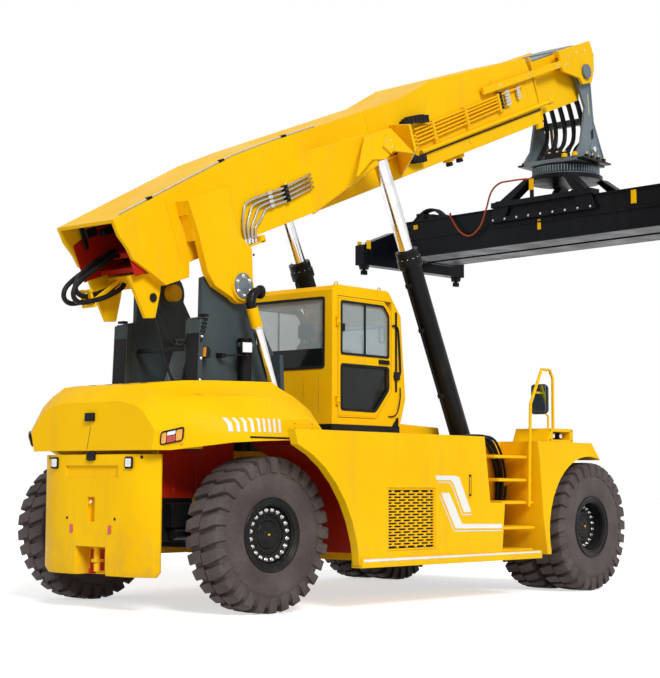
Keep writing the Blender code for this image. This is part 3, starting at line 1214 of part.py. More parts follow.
CHAIN_DEPTH = 0.09
CHAIN_WIDTH = 0.10
CHAIN_Y = BOOM_HALF + CHAIN_WIDTH / 2 + GAP
CHAIN_SHARES = ((4.35, 1.06), (4.12, 1.11), (3.97, 1.12), (3.82, 1.07), (3.735, 0.95), (3.74, 0.82),
                (3.79, 0.70), (3.90, 0.61), (4.11, 0.58))
PIPE_Y = 0.50
PIPE_RADIUS = 0.014
PIPE_RUNS = (((4.05, 0.78), (6.25, 0.85)), ((4.05, 0.83), (6.25, 0.90)), ((4.05, 0.88), (6.25, 0.95)),
             ((4.05, 0.93), (6.25, 0.99)), ((4.05, 0.98), (6.81, 1.04)))
PIPE_CLAMPS = ((4.45, 0.75, 1.02), (5.25, 0.77, 1.04), (6.10, 0.80, 1.06))
CLAMP_WIDTH = 0.05


def build_hanger(slide):
    # the hanger stands upright, so it is turned back by the boom's angle
    swing = carrier("hanger_axis", (HEAD_PIN[0], 0, HEAD_PIN[1]), slide, (0, BOOM_ANGLE, 0))
    floor = -SLEW_DROP + FLOOR_RISE
    shape = [(x, z * SLEW_DROP) for x, z in HANGER_BACK_SHARES]
    shape += arc((0, 0), HANGER_HEAD, 200, 0, 9)
    shape += [(x, z * SLEW_DROP) for x, z in HANGER_SHARES]
    pieces = []
    for side, word in SIDES:
        pieces.append(sided_plate(shape, side, *HANGER_Y))
        pieces.append(sided_rod((0, 0), side, HANGER_Y[0] - BOOM_WALL / 2, HEAD_Y[1] + BOOM_WALL, HANGER_PIN,
                                32))
        pieces.append(sided_rod((0, 0), side, HEAD_Y[1] + SLIDE * 6, HEAD_Y[1] + BOOM_WALL, HANGER_CAP, 20))
        foot, top = HANGER_SHARES[2], HANGER_SHARES[1]
        pieces.append(rod((foot[0] * 0.8, side * DAMPER_Y, floor + FLOOR_LIFT / 2),
                          (top[0] * 1.2, side * DAMPER_Y, top[1] * SLEW_DROP * 0.9), DAMPER_RADIUS, 12))
    back, front = HANGER_BACK_SHARES[0][0], HANGER_SHARES[3][0]
    pieces.append(block((back, -HANGER_Y[1], floor - LAP / 2), (front, HANGER_Y[1], floor + FLOOR_LIFT)))
    cross_x, cross_z = HANGER_SHARES[1][0] * 1.2, HANGER_SHARES[1][1] * SLEW_DROP * 0.9
    pieces.append(block((cross_x - CROSS_SIZE[0], -HANGER_Y[1] + BOOM_WALL / 2, cross_z - CROSS_SIZE[1]),
                        (cross_x, HANGER_Y[1] - BOOM_WALL / 2, cross_z)))
    finish(joined(pieces), "hanger", "grey_paint", swing)
    build_spreader(carrier("slew_axis", (SLEW_FORWARD, 0, -SLEW_DROP), swing, (0, 0, REST_SLEW)),
                   FLOOR_RISE - LAP / 2)


def build_spreader(slew, ring_top):
    bottom = ring_top - RING_DEPTH
    pieces = [rod((0, 0, bottom), (0, 0, ring_top - GAP), RING_RADIUS, 32),
              rod((0, 0, bottom - TABLE_DEPTH + LAP), (0, 0, bottom + LAP), TABLE_RADIUS, 32)]
    for sx in (-1, 1):
        for sy in (-1, 1):
            rings = []
            for (xs, ys), level in ((LEG_HEAD, -LEG_DROP[0]), (LEG_FOOT, -LEG_DROP[1])):
                places = ((xs[0], ys[0]), (xs[1], ys[0]), (xs[1], ys[1]), (xs[0], ys[1]))
                rings.append([Vector((sx * x, sy * y, level)) for x, y in places])
            pieces.append(loft(rings))
        middle = (sx * SKID_X, 0, -LEG_DROP[1] - SKID_SIZE[2] / 4)
        pieces.append(centred(middle, SKID_SIZE))
    finish(joined(pieces), "slew_frame", "navy_paint", slew)

    shift = carrier("side_shift_axis", (0, SIDE_SHIFT, 0), slew)
    top = -LEG_DROP[1] - SKID_SIZE[2] * 0.75 - SLIDE
    low = top - CHANNEL_DEPTH
    half = CHANNEL_LENGTH / 2
    channels, hollows = [], []
    for sx in (-1, 1):
        channels.append(centred((sx * CHANNEL_X, 0, (top + low) / 2),
                                (CHANNEL_WIDTH, CHANNEL_LENGTH, CHANNEL_DEPTH)))
        hollows.append(centred((sx * CHANNEL_X, 0, (top + low) / 2),
                               (CHANNEL_WIDTH - 2 * CHANNEL_WALL, CHANNEL_LENGTH + 2 * OVERRUN,
                                CHANNEL_DEPTH - 2 * CHANNEL_WALL)))
    tie = centred((0, 0, (top + low) / 2), (*CHANNEL_TIE, CHANNEL_DEPTH * 0.67))
    finish(cut(joined(channels + [tie]), hollows), "spreader_frame", "navy_paint", shift)

    corner_y, corner_x = SPREADER_LENGTH / 2, SPREADER_WIDTH / 2
    for side, word in SIDES:
        tele = carrier("telescope_axis_" + word, (0, 0, 0), shift)
        middle = side * CHANNEL_X
        half = CHANNEL_WIDTH / 2 - CHANNEL_WALL - SLIDE
        low_y, high_y = across(side, -BEAM_START, BEAM_END)
        beam = block((middle - half, low_y, low + CHANNEL_WALL + SLIDE),
                     (middle + half, high_y, top - CHANNEL_WALL - LAP))
        corner = (0, low - LOCK_DROP)
        head = outline(corner, (SPREADER_WIDTH, CHANNEL_DEPTH), HEAD_BEAM_SHARES)
        y = side * corner_y
        pieces = [beam, plate(head, "Y", y - HEAD_BEAM / 2, y + HEAD_BEAM / 2)]
        for ex in (-1, 1):
            x = ex * corner_x
            bottom = low - LOCK_DROP
            pieces.append(rod((x, y, bottom - LOCK_DROP), (x, y, bottom + LOCK_DROP), LOCK_RADIUS, 12))
            pieces.append(centred((x, y, bottom - LOCK_DROP), LOCK_HEAD))
        finish(joined(pieces), "telescope_beam_" + word, "navy_paint", tele)


# Lift cylinders. Places are counted along each one from its foot pin.

BARREL_LENGTH = 3.42
BARREL_RADIUS = 0.130
BARREL_BORE = 0.108
BARREL_START = 0.06
BARREL_WALL = 0.10
COLLAR_RADIUS = 0.145
COLLAR_LENGTH = 0.14
ROD_RADIUS = 0.092
EYE_RADIUS = 0.12
EYE_HALF = 0.10
FOOT_EYE = (0.11, 0.12)


def build_lift(base):
    top_x = PIVOT.x + LIFT_TOP[0] * cos(BOOM_ANGLE) - LIFT_TOP[1] * sin(BOOM_ANGLE)
    top_z = PIVOT.z + LIFT_TOP[0] * sin(BOOM_ANGLE) + LIFT_TOP[1] * cos(BOOM_ANGLE)
    rise, run = top_z - LIFT_FOOT.z, top_x - LIFT_FOOT.x
    length = hypot(rise, run)
    for side, word in SIDES:
        foot = carrier("lift_axis_" + word, (LIFT_FOOT.x, side * LIFT_Y, LIFT_FOOT.z), base,
                       (0, atan2(run, rise), 0))
        barrel = rod((0, 0, BARREL_START), (0, 0, BARREL_LENGTH - COLLAR_LENGTH / 3), BARREL_RADIUS, 24,
                     BARREL_BORE, BARREL_WALL)
        collar = tube((0, 0, BARREL_LENGTH - COLLAR_LENGTH), (0, 0, BARREL_LENGTH), COLLAR_RADIUS,
                      ROD_RADIUS + RUN, 24)
        eye = rod((0, -FOOT_EYE[1], 0), (0, FOOT_EYE[1], 0), FOOT_EYE[0], 20)
        bore = rod((0, -FOOT_EYE[1] - OVERRUN, 0), (0, FOOT_EYE[1] + OVERRUN, 0), FOOT_PIN + RUN, 32)
        finish(cut(joined([barrel, collar, eye]), [bore]), "lift_barrel_" + word, "black_paint", foot)
        travel = carrier("lift_rod_axis_" + word, (0, 0, 0), foot)
        bar = rod((0, 0, length - BARREL_LENGTH), (0, 0, length - EYE_RADIUS / 4), ROD_RADIUS, 24)
        head = rod((0, -EYE_HALF, length), (0, EYE_HALF, length), EYE_RADIUS, 20)
        finish(joined([bar, head]), "lift_rod_" + word, "chrome_steel", travel)


# Exhaust pipe between the right tower's flanges

STACK_X = 0.55
STACK_Y = TOWER_Y + 0.145
STACK_RADIUS = 0.075
STACK_FOOT = FRAME_TOP + GAP
STACK_TOP = FRAME_TOP + 1.25
STACK_PLATE = 0.012


def build_exhaust(base):
    body = rod((STACK_X, -STACK_Y, STACK_FOOT), (STACK_X, -STACK_Y, STACK_TOP), STACK_RADIUS, 20)
    hole = rod((STACK_X, -STACK_Y, STACK_TOP - OVERRUN * 4), (STACK_X, -STACK_Y, STACK_TOP + OVERRUN),
               STACK_RADIUS - STACK_PLATE, 20)
    finish(cut(body, [hole]), "exhaust_pipe", "chrome_steel", base)


def settle(base):
    # the middle of the footprint box becomes the origin
    bpy.context.view_layer.update()
    low = Vector((FAR, FAR, FAR))
    high = -low
    for piece in PARTS.objects:
        if piece.type == "MESH":
            for vertex in piece.data.vertices:
                point = piece.matrix_world @ vertex.co
                low = Vector(map(min, low, point))
                high = Vector(map(max, high, point))
    base.location = (-(low.x + high.x) / 2, -(low.y + high.y) / 2, -low.z)
    bpy.context.view_layer.update()


clear_scene()
BASE = carrier("reach_stacker_frame", (0, 0, 0))
build_frame(BASE)
build_axles(BASE)
build_counterweight(BASE)
build_hood(BASE)
build_towers(BASE)
build_sides(BASE)
build_cab(BASE)
build_exhaust(BASE)
build_wheels(BASE)
build_boom(BASE)
build_lift(BASE)
settle(BASE)
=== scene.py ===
# Reach stacker for containers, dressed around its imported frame.
# Places are metres from the rear axle: X forward, Y left, Z up from the ground.
import json
from math import cos, pi, radians, sin

import bmesh
import bpy
from mathutils import Matrix, Vector
from mathutils.bvhtree import BVHTree

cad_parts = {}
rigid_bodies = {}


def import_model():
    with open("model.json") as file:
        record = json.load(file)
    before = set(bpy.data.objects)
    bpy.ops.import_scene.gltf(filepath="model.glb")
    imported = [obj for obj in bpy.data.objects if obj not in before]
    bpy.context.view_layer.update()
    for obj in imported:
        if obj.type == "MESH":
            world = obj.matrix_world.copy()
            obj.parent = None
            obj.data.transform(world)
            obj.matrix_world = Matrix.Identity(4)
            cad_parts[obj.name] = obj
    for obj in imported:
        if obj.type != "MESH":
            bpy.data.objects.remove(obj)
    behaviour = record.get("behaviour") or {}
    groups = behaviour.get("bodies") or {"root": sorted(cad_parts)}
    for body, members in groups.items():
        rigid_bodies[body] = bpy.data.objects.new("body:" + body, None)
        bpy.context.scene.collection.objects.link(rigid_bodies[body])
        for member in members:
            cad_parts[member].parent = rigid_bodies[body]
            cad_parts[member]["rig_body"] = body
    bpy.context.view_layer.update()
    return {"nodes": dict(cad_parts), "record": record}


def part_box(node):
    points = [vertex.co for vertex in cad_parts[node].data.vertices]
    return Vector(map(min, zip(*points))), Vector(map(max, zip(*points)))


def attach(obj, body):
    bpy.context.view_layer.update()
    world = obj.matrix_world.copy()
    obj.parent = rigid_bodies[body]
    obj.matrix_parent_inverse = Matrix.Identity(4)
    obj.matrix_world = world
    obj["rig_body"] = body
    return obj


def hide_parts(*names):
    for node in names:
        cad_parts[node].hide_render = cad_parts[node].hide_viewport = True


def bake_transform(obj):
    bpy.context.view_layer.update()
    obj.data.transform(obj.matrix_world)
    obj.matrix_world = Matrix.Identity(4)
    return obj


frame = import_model()
SCENE = bpy.context.scene
NODES = frame["nodes"]
SIDES = ((-1, "right"), (1, "left"))
BOTH = (-1, 1)
CORNERS = ((-1, -1), (1, -1), (1, 1), (-1, 1))
AHEAD = Vector((1, 0, 0))
LEFT = Vector((0, 1, 0))
UP = Vector((0, 0, 1))


def middle_of(node):
    low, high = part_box(node)
    return (low + high) / 2


AXLE = middle_of("rear_steer_axle")
ORIGIN = Vector((AXLE.x, AXLE.y, 0.0))
TILT = radians(21.5)
PIVOT = ORIGIN + Vector((0.46, 0, 3.58))
ALONG = Vector((cos(TILT), 0, sin(TILT)))
SQUARE = Vector((-sin(TILT), 0, cos(TILT)))
HEAD_PIN = PIVOT + ALONG * 8.52 + SQUARE * 0.93
STEER = radians(-5)
SKIN_Y = 2.05
BEHIND = -2.5
BESIDE = 3.0
ABOVE = 4.0
BOOM_HALF = 0.46
BOOM_AXES = (ALONG, LEFT, SQUARE)
CAB_FLOOR = 2.0703
LIFT_FOOT = (4.70, 0.90, 1.20)
LIFT_EYE = (2.68, 0.90, 1.00)


def at(x, y, z):
    return ORIGIN + Vector((x, y, z))


def boom(along, y, out):
    # a place on the boom: along it from its pivot, and square to it
    return PIVOT + ALONG * along + SQUARE * out + LEFT * y


def head(x, y, z):
    return HEAD_PIN + Vector((x, y, z))


def outward(side):
    return Vector((0, side, 0))


def circle(first, second, count, start=0.0):
    # unit vectors round a full turn
    turns = [start + 2 * pi * i / count for i in range(count)]
    return [first * cos(t) + second * sin(t) for t in turns]


# Camera at the photograph's viewing angle, for an image of 660 by 678

FOCAL, WIDE, TALL = 1604.03, 660, 678
LOOK = Vector((sin(0.837) * cos(0.1), cos(0.837) * cos(0.1), sin(0.1)))
ROLL = 0.006


def make_camera():
    right = LOOK.cross(UP).normalized()
    upward = right.cross(LOOK)
    across = cos(ROLL) * right + sin(ROLL) * upward
    upward = cos(ROLL) * upward - sin(ROLL) * right
    data = bpy.data.cameras.new("camera")
    data.sensor_width = 36
    data.lens = FOCAL * data.sensor_width / TALL
    data.shift_x = 39.168 / TALL
    data.shift_y = -19.533 / TALL
    data.clip_end = 300
    camera = bpy.data.objects.new("camera", data)
    turn = Matrix((across, upward, -LOOK)).transposed().to_4x4()
    camera.matrix_world = Matrix.Translation(at(-12.545, -13.150, 1.396)) @ turn
    SCENE.collection.objects.link(camera)
    SCENE.camera = camera


# Shapes: a run of vertices and faces that becomes one piece


def square_to(direction):
    direction = direction.normalized()
    guess = UP if abs(direction.z) < 0.9 else AHEAD
    first = direction.cross(guess).normalized()
    return first, direction.cross(first)


class Shape:
    def __init__(self):
        self.verts = []
        self.faces = []

    def add(self, verts, faces):
        base = len(self.verts)
        self.verts += [Vector(v) for v in verts]
        self.faces += [tuple(base + i for i in face) for face in faces]

    def loft(self, rings, ring_closed=True, run_closed=False):
        count = len(rings[0])
        faces = []
        steps = len(rings) if run_closed else len(rings) - 1
        for step in range(steps):
            low, high = step * count, (step + 1) % len(rings) * count
            for i in range(count if ring_closed else count - 1):
                j = (i + 1) % count
                faces.append((low + i, low + j, high + j, high + i))
        if ring_closed and not run_closed:
            faces.append(tuple(range(count)))
            faces.append(tuple((len(rings) - 1) * count + i for i in range(count)))
        self.add([p for ring in rings for p in ring], faces)

    def prism(self, points, shift):
        self.loft([points, [p + shift for p in points]])

    def slab(self, middle, size, axes=None):
        a, b, c = axes or (AHEAD, LEFT, UP)
        a, b, c = a * size[0] / 2, b * size[1] / 2, c * size[2] / 2
        self.prism([middle - a - b - c, middle + a - b - c, middle + a + b - c, middle - a + b - c], 2 * c)

    def block(self, low, high):
        self.slab((low + high) / 2, high - low)

    def rod(self, start, end, radius, segments=16, end_radius=None):
        first, second = square_to(end - start)
        rings = []
        for place, size in ((start, radius), (end, radius if end_radius is None else end_radius)):
            rings.append([place + out * size for out in circle(first, second, segments)])
        self.loft(rings)

    def lathe(self, profile, middle, axis, segments=32):
        # profile is a closed run of (place along the axis, radius)
        axis = axis.normalized()
        rings = []
        for out in circle(*square_to(axis), segments):
            rings.append([middle + axis * p + out * r for p, r in profile])
        self.loft(rings, run_closed=True)

    def tube(self, low, high, inner, outer, middle, axis, segments=32):
        self.lathe([(low, inner), (low, outer), (high, outer), (high, inner)], middle, axis, segments)

    def sweep(self, points, radius, segments=10):
        first, second = square_to(points[1] - points[0])
        rings = []
        for i, place in enumerate(points):
            ahead = points[min(i + 1, len(points) - 1)] - points[max(i - 1, 0)]
            ahead.normalize()
            first = (first - ahead * first.dot(ahead)).normalized()
            ring = circle(first, ahead.cross(first), segments)
            rings.append([place + out * radius for out in ring])
        self.loft(rings)

    def bolt(self, place, normal, radius, height=0.6):
        # a six-sided head on a washer, with the end of its stud
        self.rod(place, place + normal * radius * 0.2, radius * 1.35, 14)
        self.rod(place, place + normal * radius * height * 1.4, radius, 6)
        self.rod(place, place + normal * radius * height * 2.1, radius * 0.45, 8)

    def bolts(self, places, normal, radius, height=0.6):
        for place in places:
            self.bolt(place, normal, radius, height)


def shapes(count):
    return [Shape() for _ in range(count)]


def piece(name, shape, material, bevel=0.0, body="chassis"):
    mesh = bpy.data.meshes.new(name)
    mesh.from_pydata([tuple(v) for v in shape.verts], [], shape.faces)
    work = bmesh.new()
    work.from_mesh(mesh)
    bmesh.ops.recalc_face_normals(work, faces=work.faces)
    for face in work.faces:
        face.smooth = True
    work.to_mesh(mesh)
    work.free()
    mesh.materials.append(material)
    made = bpy.data.objects.new(name, mesh)
    SCENE.collection.objects.link(made)
    if bevel:
        edges = made.modifiers.new("edges", "BEVEL")
        edges.width = bevel
        edges.segments = 2
        edges.angle_limit = radians(35)
        edges.harden_normals = True
    else:
        mesh.set_sharp_from_angle(angle=radians(35))
    if body:
        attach(made, body)
    return made


def curve_through(places, steps=6):
    # a smooth run of points through the places
    points = []
    for i in range(len(places) - 1):
        before, start = places[max(i - 1, 0)], places[i]
        end, after = places[i + 1], places[min(i + 2, len(places) - 1)]
        for k in range(steps):
            t = k / steps
            square = 2 * before - 5 * start + 4 * end - after
            cube = 3 * start - before - 3 * end + after
            points.append(0.5 * (2 * start + (end - before) * t + square * t * t + cube * t ** 3))
    points.append(places[-1].copy())
    return points


def nearest(node, place):
    return tree_of(node).find_nearest(place)[0]


def hose(name, places, radius, ends, body, material=None, other=None):
    # a free hose between two nodes; one that spans a joint is put on no body and stays as it is made
    places = [nearest(ends[0], places[0])] + places[1:-1] + [nearest(ends[1], places[-1])]
    points = curve_through(places)
    shape = Shape()
    shape.sweep(points, radius, 12)
    made = piece(name, shape, material or HOSE, body=None if other else body)
    if other:
        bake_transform(made)
    return made


TREES = {}


def tree_of(node):
    if node not in TREES:
        mesh = NODES[node].data
        TREES[node] = BVHTree.FromPolygons([v.co for v in mesh.vertices], [p.vertices for p in mesh.polygons])
    return TREES[node]


def surface(node, start, direction):
    # where a straight line meets a node, and which way the node faces there
    place, normal, _, _ = tree_of(node).ray_cast(start, Vector(direction).normalized())
    if place is None:
        raise ValueError("no surface of " + node)
    if normal.dot(Vector(direction)) > 0:
        normal = -normal
    return place, normal


def patch(shape, node, corners, direction, counts=(2, 4), lift=0.002):
    # a thin four-cornered plate that lies on a node's surface
    a, b, c, d = corners
    count_u, count_v = counts
    outer, inner = [], []
    for i in range(count_u + 1):
        for j in range(count_v + 1):
            u, v = i / count_u, j / count_v
            start = (a * (1 - u) + b * u) * (1 - v) + (d * (1 - u) + c * u) * v
            place, normal = surface(node, start, direction)
            outer.append(place + normal * lift)
            inner.append(place - normal * lift)
    width = count_v + 1
    total = len(outer)
    faces = []
    for i in range(count_u):
        for j in range(count_v):
            k = i * width + j
            faces.append((k, k + 1, k + width + 1, k + width))
            faces.append((total + k, total + k + width, total + k + width + 1, total + k + 1))
    rim = [i * width for i in range(count_u + 1)] + [count_u * width + j for j in range(1, width)]
    rim += [i * width + count_v for i in range(count_u - 1, -1, -1)] + list(range(count_v - 1, 0, -1))
    for k, here in enumerate(rim):
        after = rim[(k + 1) % len(rim)]
        faces.append((here, after, total + after, total + here))
    shape.add(outer + inner, faces)


def flat_run(shape, edges, y, side, depth=0.0015):
    # a thin plate between two edges of (x, z) points on an upright face at y
    near = [at(x, side * y, z) for x, z in edges[0]]
    far = [at(x, side * y, z) for x, z in edges[1]]
    shift = outward(side) * depth
    rings = [[p - shift, p + shift, q + shift, q - shift] for p, q in zip(near, far)]
    shape.loft(rings)


def ring_plate(shape, outline_points, width, normal, depth):
    # a frame of the given width round a closed run of points that turns one way
    middle = sum(outline_points, Vector()) / len(outline_points)
    rings = []
    count = len(outline_points)
    for i, p in enumerate(outline_points):
        before, after = outline_points[i - 1], outline_points[(i + 1) % count]
        one = (p - before).normalized().cross(normal)
        two = (after - p).normalized().cross(normal)
        inward = (one + two).normalized()
        if inward.dot(middle - p) < 0:
            inward = -inward
        inside = p + inward * width
        rings.append([p, p + normal * depth, inside + normal * depth, inside])
    shape.loft(rings, run_closed=True)


def panel(middle, wide, high, corner, steps=4):
    # a rounded outline from the middle and its half width and half height
    return rounded([middle + wide * a + high * b for a, b in CORNERS], corner, steps)


def rounded(points, radius, steps=4):
    # a closed run of points with its corners rounded off
    result = []
    count = len(points)
    for i, p in enumerate(points):
        back = (points[i - 1] - p).normalized() * radius
        ahead = (points[(i + 1) % count] - p).normalized() * radius
        for k in range(steps + 1):
            t = k / steps
            result.append(p + back * (1 - t) ** 2 + ahead * t ** 2)
    return result


# Materials. Object coordinates are the places at rest, so dirt sits low on the machine.


class Surface:
    def __init__(self, name, colour, roughness=0.4, metallic=0.0, specular=0.3):
        self.made = bpy.data.materials.new(name)
        self.made.use_nodes = True
        self.tree = self.made.node_tree
        self.shader = self.tree.nodes["Principled BSDF"]
        self.shader.inputs["Metallic"].default_value = metallic
        self.shader.inputs["Roughness"].default_value = roughness
        self.shader.inputs["Specular IOR Level"].default_value = specular
        self.shader.inputs["Base Color"].default_value = (*colour, 1)
        self.place = self.node("ShaderNodeTexCoord").outputs["Object"]
        self.colour = None
        self.start = colour

    def node(self, kind, **values):
        made = self.tree.nodes.new(kind)
        for key, value in values.items():
            setattr(made, key, value)
        return made

    def wire(self, source, target):
        self.tree.links.new(source, target)

    def noise(self, scale, detail=3.0, stretch=(1, 1, 1)):
        mapping = self.node("ShaderNodeMapping")
        mapping.inputs["Scale"].default_value = stretch
        self.wire(self.place, mapping.inputs["Vector"])
        made = self.node("ShaderNodeTexNoise")
        made.inputs["Scale"].default_value = scale
        made.inputs["Detail"].default_value = detail
        self.wire(mapping.outputs["Vector"], made.inputs["Vector"])
        return made.outputs["Fac"]

    def ranged(self, source, low, high, to_low=0.0, to_high=1.0):
        made = self.node("ShaderNodeMapRange")
        made.inputs["From Min"].default_value = low
        made.inputs["From Max"].default_value = high
        made.inputs["To Min"].default_value = to_low
        made.inputs["To Max"].default_value = to_high
        self.wire(source, made.inputs["Value"])
        return made.outputs["Result"]

    def product(self, first, second):
        made = self.node("ShaderNodeMath", operation="MULTIPLY")
        self.wire(first, made.inputs[0])
        self.wire(second, made.inputs[1])
        return made.outputs["Value"]

    def blend(self, factor, colour):
        made = self.node("ShaderNodeMix", data_type="RGBA")
        self.wire(factor, made.inputs["Factor"])
        if self.colour is None:
            made.inputs[6].default_value = (*self.start, 1)
        else:
            self.wire(self.colour, made.inputs[6])
        made.inputs[7].default_value = (*colour, 1)
        self.colour = made.outputs[2]

    def edges(self, radius=0.012):
        # the softened normal, and a mask that is 1 on sharp edges
        soft = self.node("ShaderNodeBevel", samples=4)
        soft.inputs["Radius"].default_value = radius
        plain = self.node("ShaderNodeNewGeometry")
        both = self.node("ShaderNodeVectorMath", operation="DOT_PRODUCT")
        self.wire(soft.outputs["Normal"], both.inputs[0])
        self.wire(plain.outputs["Normal"], both.inputs[1])
        return soft.outputs["Normal"], self.ranged(both.outputs["Value"], 0.985, 0.80)

    def bumps(self, source, strength, distance, under=None):
        made = self.node("ShaderNodeBump")
        made.inputs["Strength"].default_value = strength
        made.inputs["Distance"].default_value = distance
        self.wire(source, made.inputs["Height"])
        if under is not None:
            self.wire(under, made.inputs["Normal"])
        return made.outputs["Normal"]

    def low_down(self, top):
        split = self.node("ShaderNodeSeparateXYZ")
        self.wire(self.place, split.inputs["Vector"])
        return self.ranged(split.outputs["Z"], top, 0.0)

    def done(self, normal=None, roughness=None):
        if self.colour is not None:
            self.wire(self.colour, self.shader.inputs["Base Color"])
        if normal is not None:
            self.wire(normal, self.shader.inputs["Normal"])
        if roughness is not None:
            self.wire(roughness, self.shader.inputs["Roughness"])
        return self.made


DUST = (0.20, 0.15, 0.10)
BARE = (0.32, 0.29, 0.27)


def enamel(name, colour, shade, roughness=0.42, specular=0.2, dirt=0.35, wear=0.5):
    made = Surface(name, colour, roughness, 0.0, specular)
    made.blend(made.ranged(made.noise(0.9, 4), 0.35, 0.75), shade)
    streaks = made.ranged(made.noise(5, 4, (1, 1, 0.12)), 0.56, 0.80, 0.0, 0.35 * dirt)
    made.blend(streaks, DUST)
    low = made.product(made.low_down(1.1), made.ranged(made.noise(7, 6), 0.38, 0.75, 0.0, dirt))
    made.blend(low, DUST)
    soft, mask = made.edges()
    worn = made.product(mask, made.ranged(made.noise(38, 4), 0.52, 0.66, 0.0, wear))
    made.blend(worn, BARE)
    gloss = made.ranged(made.noise(2.2, 5), 0.3, 0.7, roughness - 0.07, roughness + 0.10)
    waves = made.bumps(made.noise(2.6, 2), 0.08, 0.02, soft)
    return made.done(made.bumps(made.noise(140, 2), 0.05, 0.002, waves), gloss)


def rubber(name, colour, dusty, roughness=0.62):
    made = Surface(name, colour, roughness, 0.0, 0.12)
    made.blend(made.ranged(made.noise(3.0, 6), 0.35, 0.7), dusty)
    made.blend(made.ranged(made.noise(30, 5), 0.5, 0.75, 0.0, 0.5), tuple(c * 0.55 for c in colour))
    soft, mask = made.edges(0.008)
    made.blend(made.ranged(mask, 0, 1, 0, 0.35), tuple(min(1, c * 1.5) for c in dusty))
    gloss = made.ranged(made.noise(6, 5), 0.3, 0.7, roughness - 0.14, roughness + 0.12)
    rough = made.bumps(made.noise(22, 5), 0.18, 0.006, soft)
    return made.done(made.bumps(made.noise(260, 3), 0.12, 0.002, rough), gloss)


def metal(name, colour, roughness, grain=0.06):
    made = Surface(name, colour, roughness, 1.0, 0.5)
    made.blend(made.ranged(made.noise(9, 5), 0.45, 0.75, 0.0, 0.5), tuple(c * 0.72 for c in colour))
    soft = made.edges(0.004)[0]
    gloss = made.ranged(made.noise(30, 4, (1, 1, 0.1)), 0.3, 0.7, roughness * 0.7, roughness * 1.4)
    return made.done(made.bumps(made.noise(90, 3, (1, 1, 0.15)), grain, 0.001, soft), gloss)


def plastic(name, colour, roughness=0.5, grain=0.25):
    made = Surface(name, colour, roughness, 0.0, 0.10)
    made.blend(made.ranged(made.noise(4, 5), 0.4, 0.75, 0.0, 0.5),
               tuple(min(1, c * 1.8 + 0.01) for c in colour))
    soft, mask = made.edges(0.006)
    made.blend(made.ranged(mask, 0, 1, 0, 0.3), (0.16, 0.16, 0.16))
    return made.done(made.bumps(made.noise(420, 2), grain, 0.0015, soft))


def glass(name, colour, alpha, roughness=0.05):
    made = Surface(name, colour, roughness, 0.0, 0.25)
    made.shader.inputs["Alpha"].default_value = alpha
    made.blend(made.ranged(made.noise(2.4, 3), 0.4, 0.8, 0.0, 0.5), tuple(c * 0.8 for c in colour))
    return made.done(made.bumps(made.noise(1.4, 1), 0.04, 0.02))


def lens(name, colour, ribs=90.0):
    made = Surface(name, colour, 0.16, 0.0, 0.6)
    made.shader.inputs["Coat Weight"].default_value = 0.6
    made.blend(made.ranged(made.noise(30, 3), 0.4, 0.7, 0.0, 0.6),
               tuple(min(1, c * 1.35 + 0.02) for c in colour))
    wave = made.node("ShaderNodeTexWave", wave_type="BANDS", bands_direction="Y")
    wave.inputs["Scale"].default_value = ribs
    made.wire(made.place, wave.inputs["Vector"])
    return made.done(made.bumps(wave.outputs["Fac"], 0.4, 0.002))


def woven(name, colour):
    made = Surface(name, colour, 0.85, 0.0, 0.2)
    made.shader.inputs["Sheen Weight"].default_value = 0.4
    made.blend(made.ranged(made.noise(6, 5), 0.35, 0.7), tuple(c * 1.7 for c in colour))
    heights = []
    for direction in ("X", "Z"):
        wave = made.node("ShaderNodeTexWave", wave_type="BANDS", bands_direction=direction)
        wave.inputs["Scale"].default_value = 160
        made.wire(made.place, wave.inputs["Vector"])
        heights.append(wave.outputs["Fac"])
    weave = made.product(*heights)
    made.blend(made.ranged(weave, 0.1, 0.7, 0.0, 0.35), tuple(c * 2.4 for c in colour))
    return made.done(made.bumps(weave, 0.5, 0.002))


YELLOW = enamel("yellow enamel", (0.95, 0.555, 0.002), (0.90, 0.49, 0.002), 0.42, 0.06)
GREY = enamel("grey enamel", (0.17, 0.215, 0.24), (0.12, 0.155, 0.175), 0.38, 0.2, 0.3)
# a darker copy of the grey enamel, painted shade for the towers
SHADED_GREY = enamel("grey enamel with painted shade", (0.055, 0.074, 0.083), (0.038, 0.052, 0.060), 0.38, 0.12, 0.3)
NAVY = enamel("navy enamel", (0.005, 0.006, 0.009), (0.010, 0.012, 0.016), 0.34, 0.08, 0.12, 0.3)
RED = enamel("red enamel", (0.50, 0.020, 0.006), (0.40, 0.012, 0.005), 0.40, 0.10, 0.35)
BLACK = enamel("black enamel", (0.006, 0.006, 0.007), (0.012, 0.012, 0.013), 0.30, 0.12, 0.15, 0.35)
WHITE = enamel("white enamel", (0.88, 0.88, 0.85), (0.80, 0.79, 0.75), 0.4, 0.2, 0.3)
TYRE = rubber("worn tyre rubber", (0.072, 0.056, 0.054), (0.115, 0.095, 0.090))
HOSE = rubber("hose rubber", (0.007, 0.007, 0.008), (0.016, 0.016, 0.017), 0.42)
CHROME = metal("hard chrome", (0.80, 0.80, 0.80), 0.14)
STEEL = metal("drawn steel", (0.46, 0.45, 0.42), 0.30, 0.08)
ZINC = metal("zinc plate", (0.62, 0.62, 0.60), 0.34, 0.12)
BRASS = metal("brass", (0.72, 0.55, 0.25), 0.30, 0.10)
PLASTIC = plastic("black plastic", (0.009, 0.009, 0.010))
CLEAR = glass("cab glass", (0.50, 0.62, 0.66), 0.36)
TINTED = glass("tinted glass", (0.008, 0.012, 0.013), 0.90, 0.08)
SCREEN = glass("screen glass", (0.10, 0.22, 0.28), 0.55, 0.04)
MIRROR = metal("mirror silver", (0.35, 0.52, 0.72), 0.12, 0.01)
AMBER = lens("amber lens", (0.90, 0.34, 0.01))
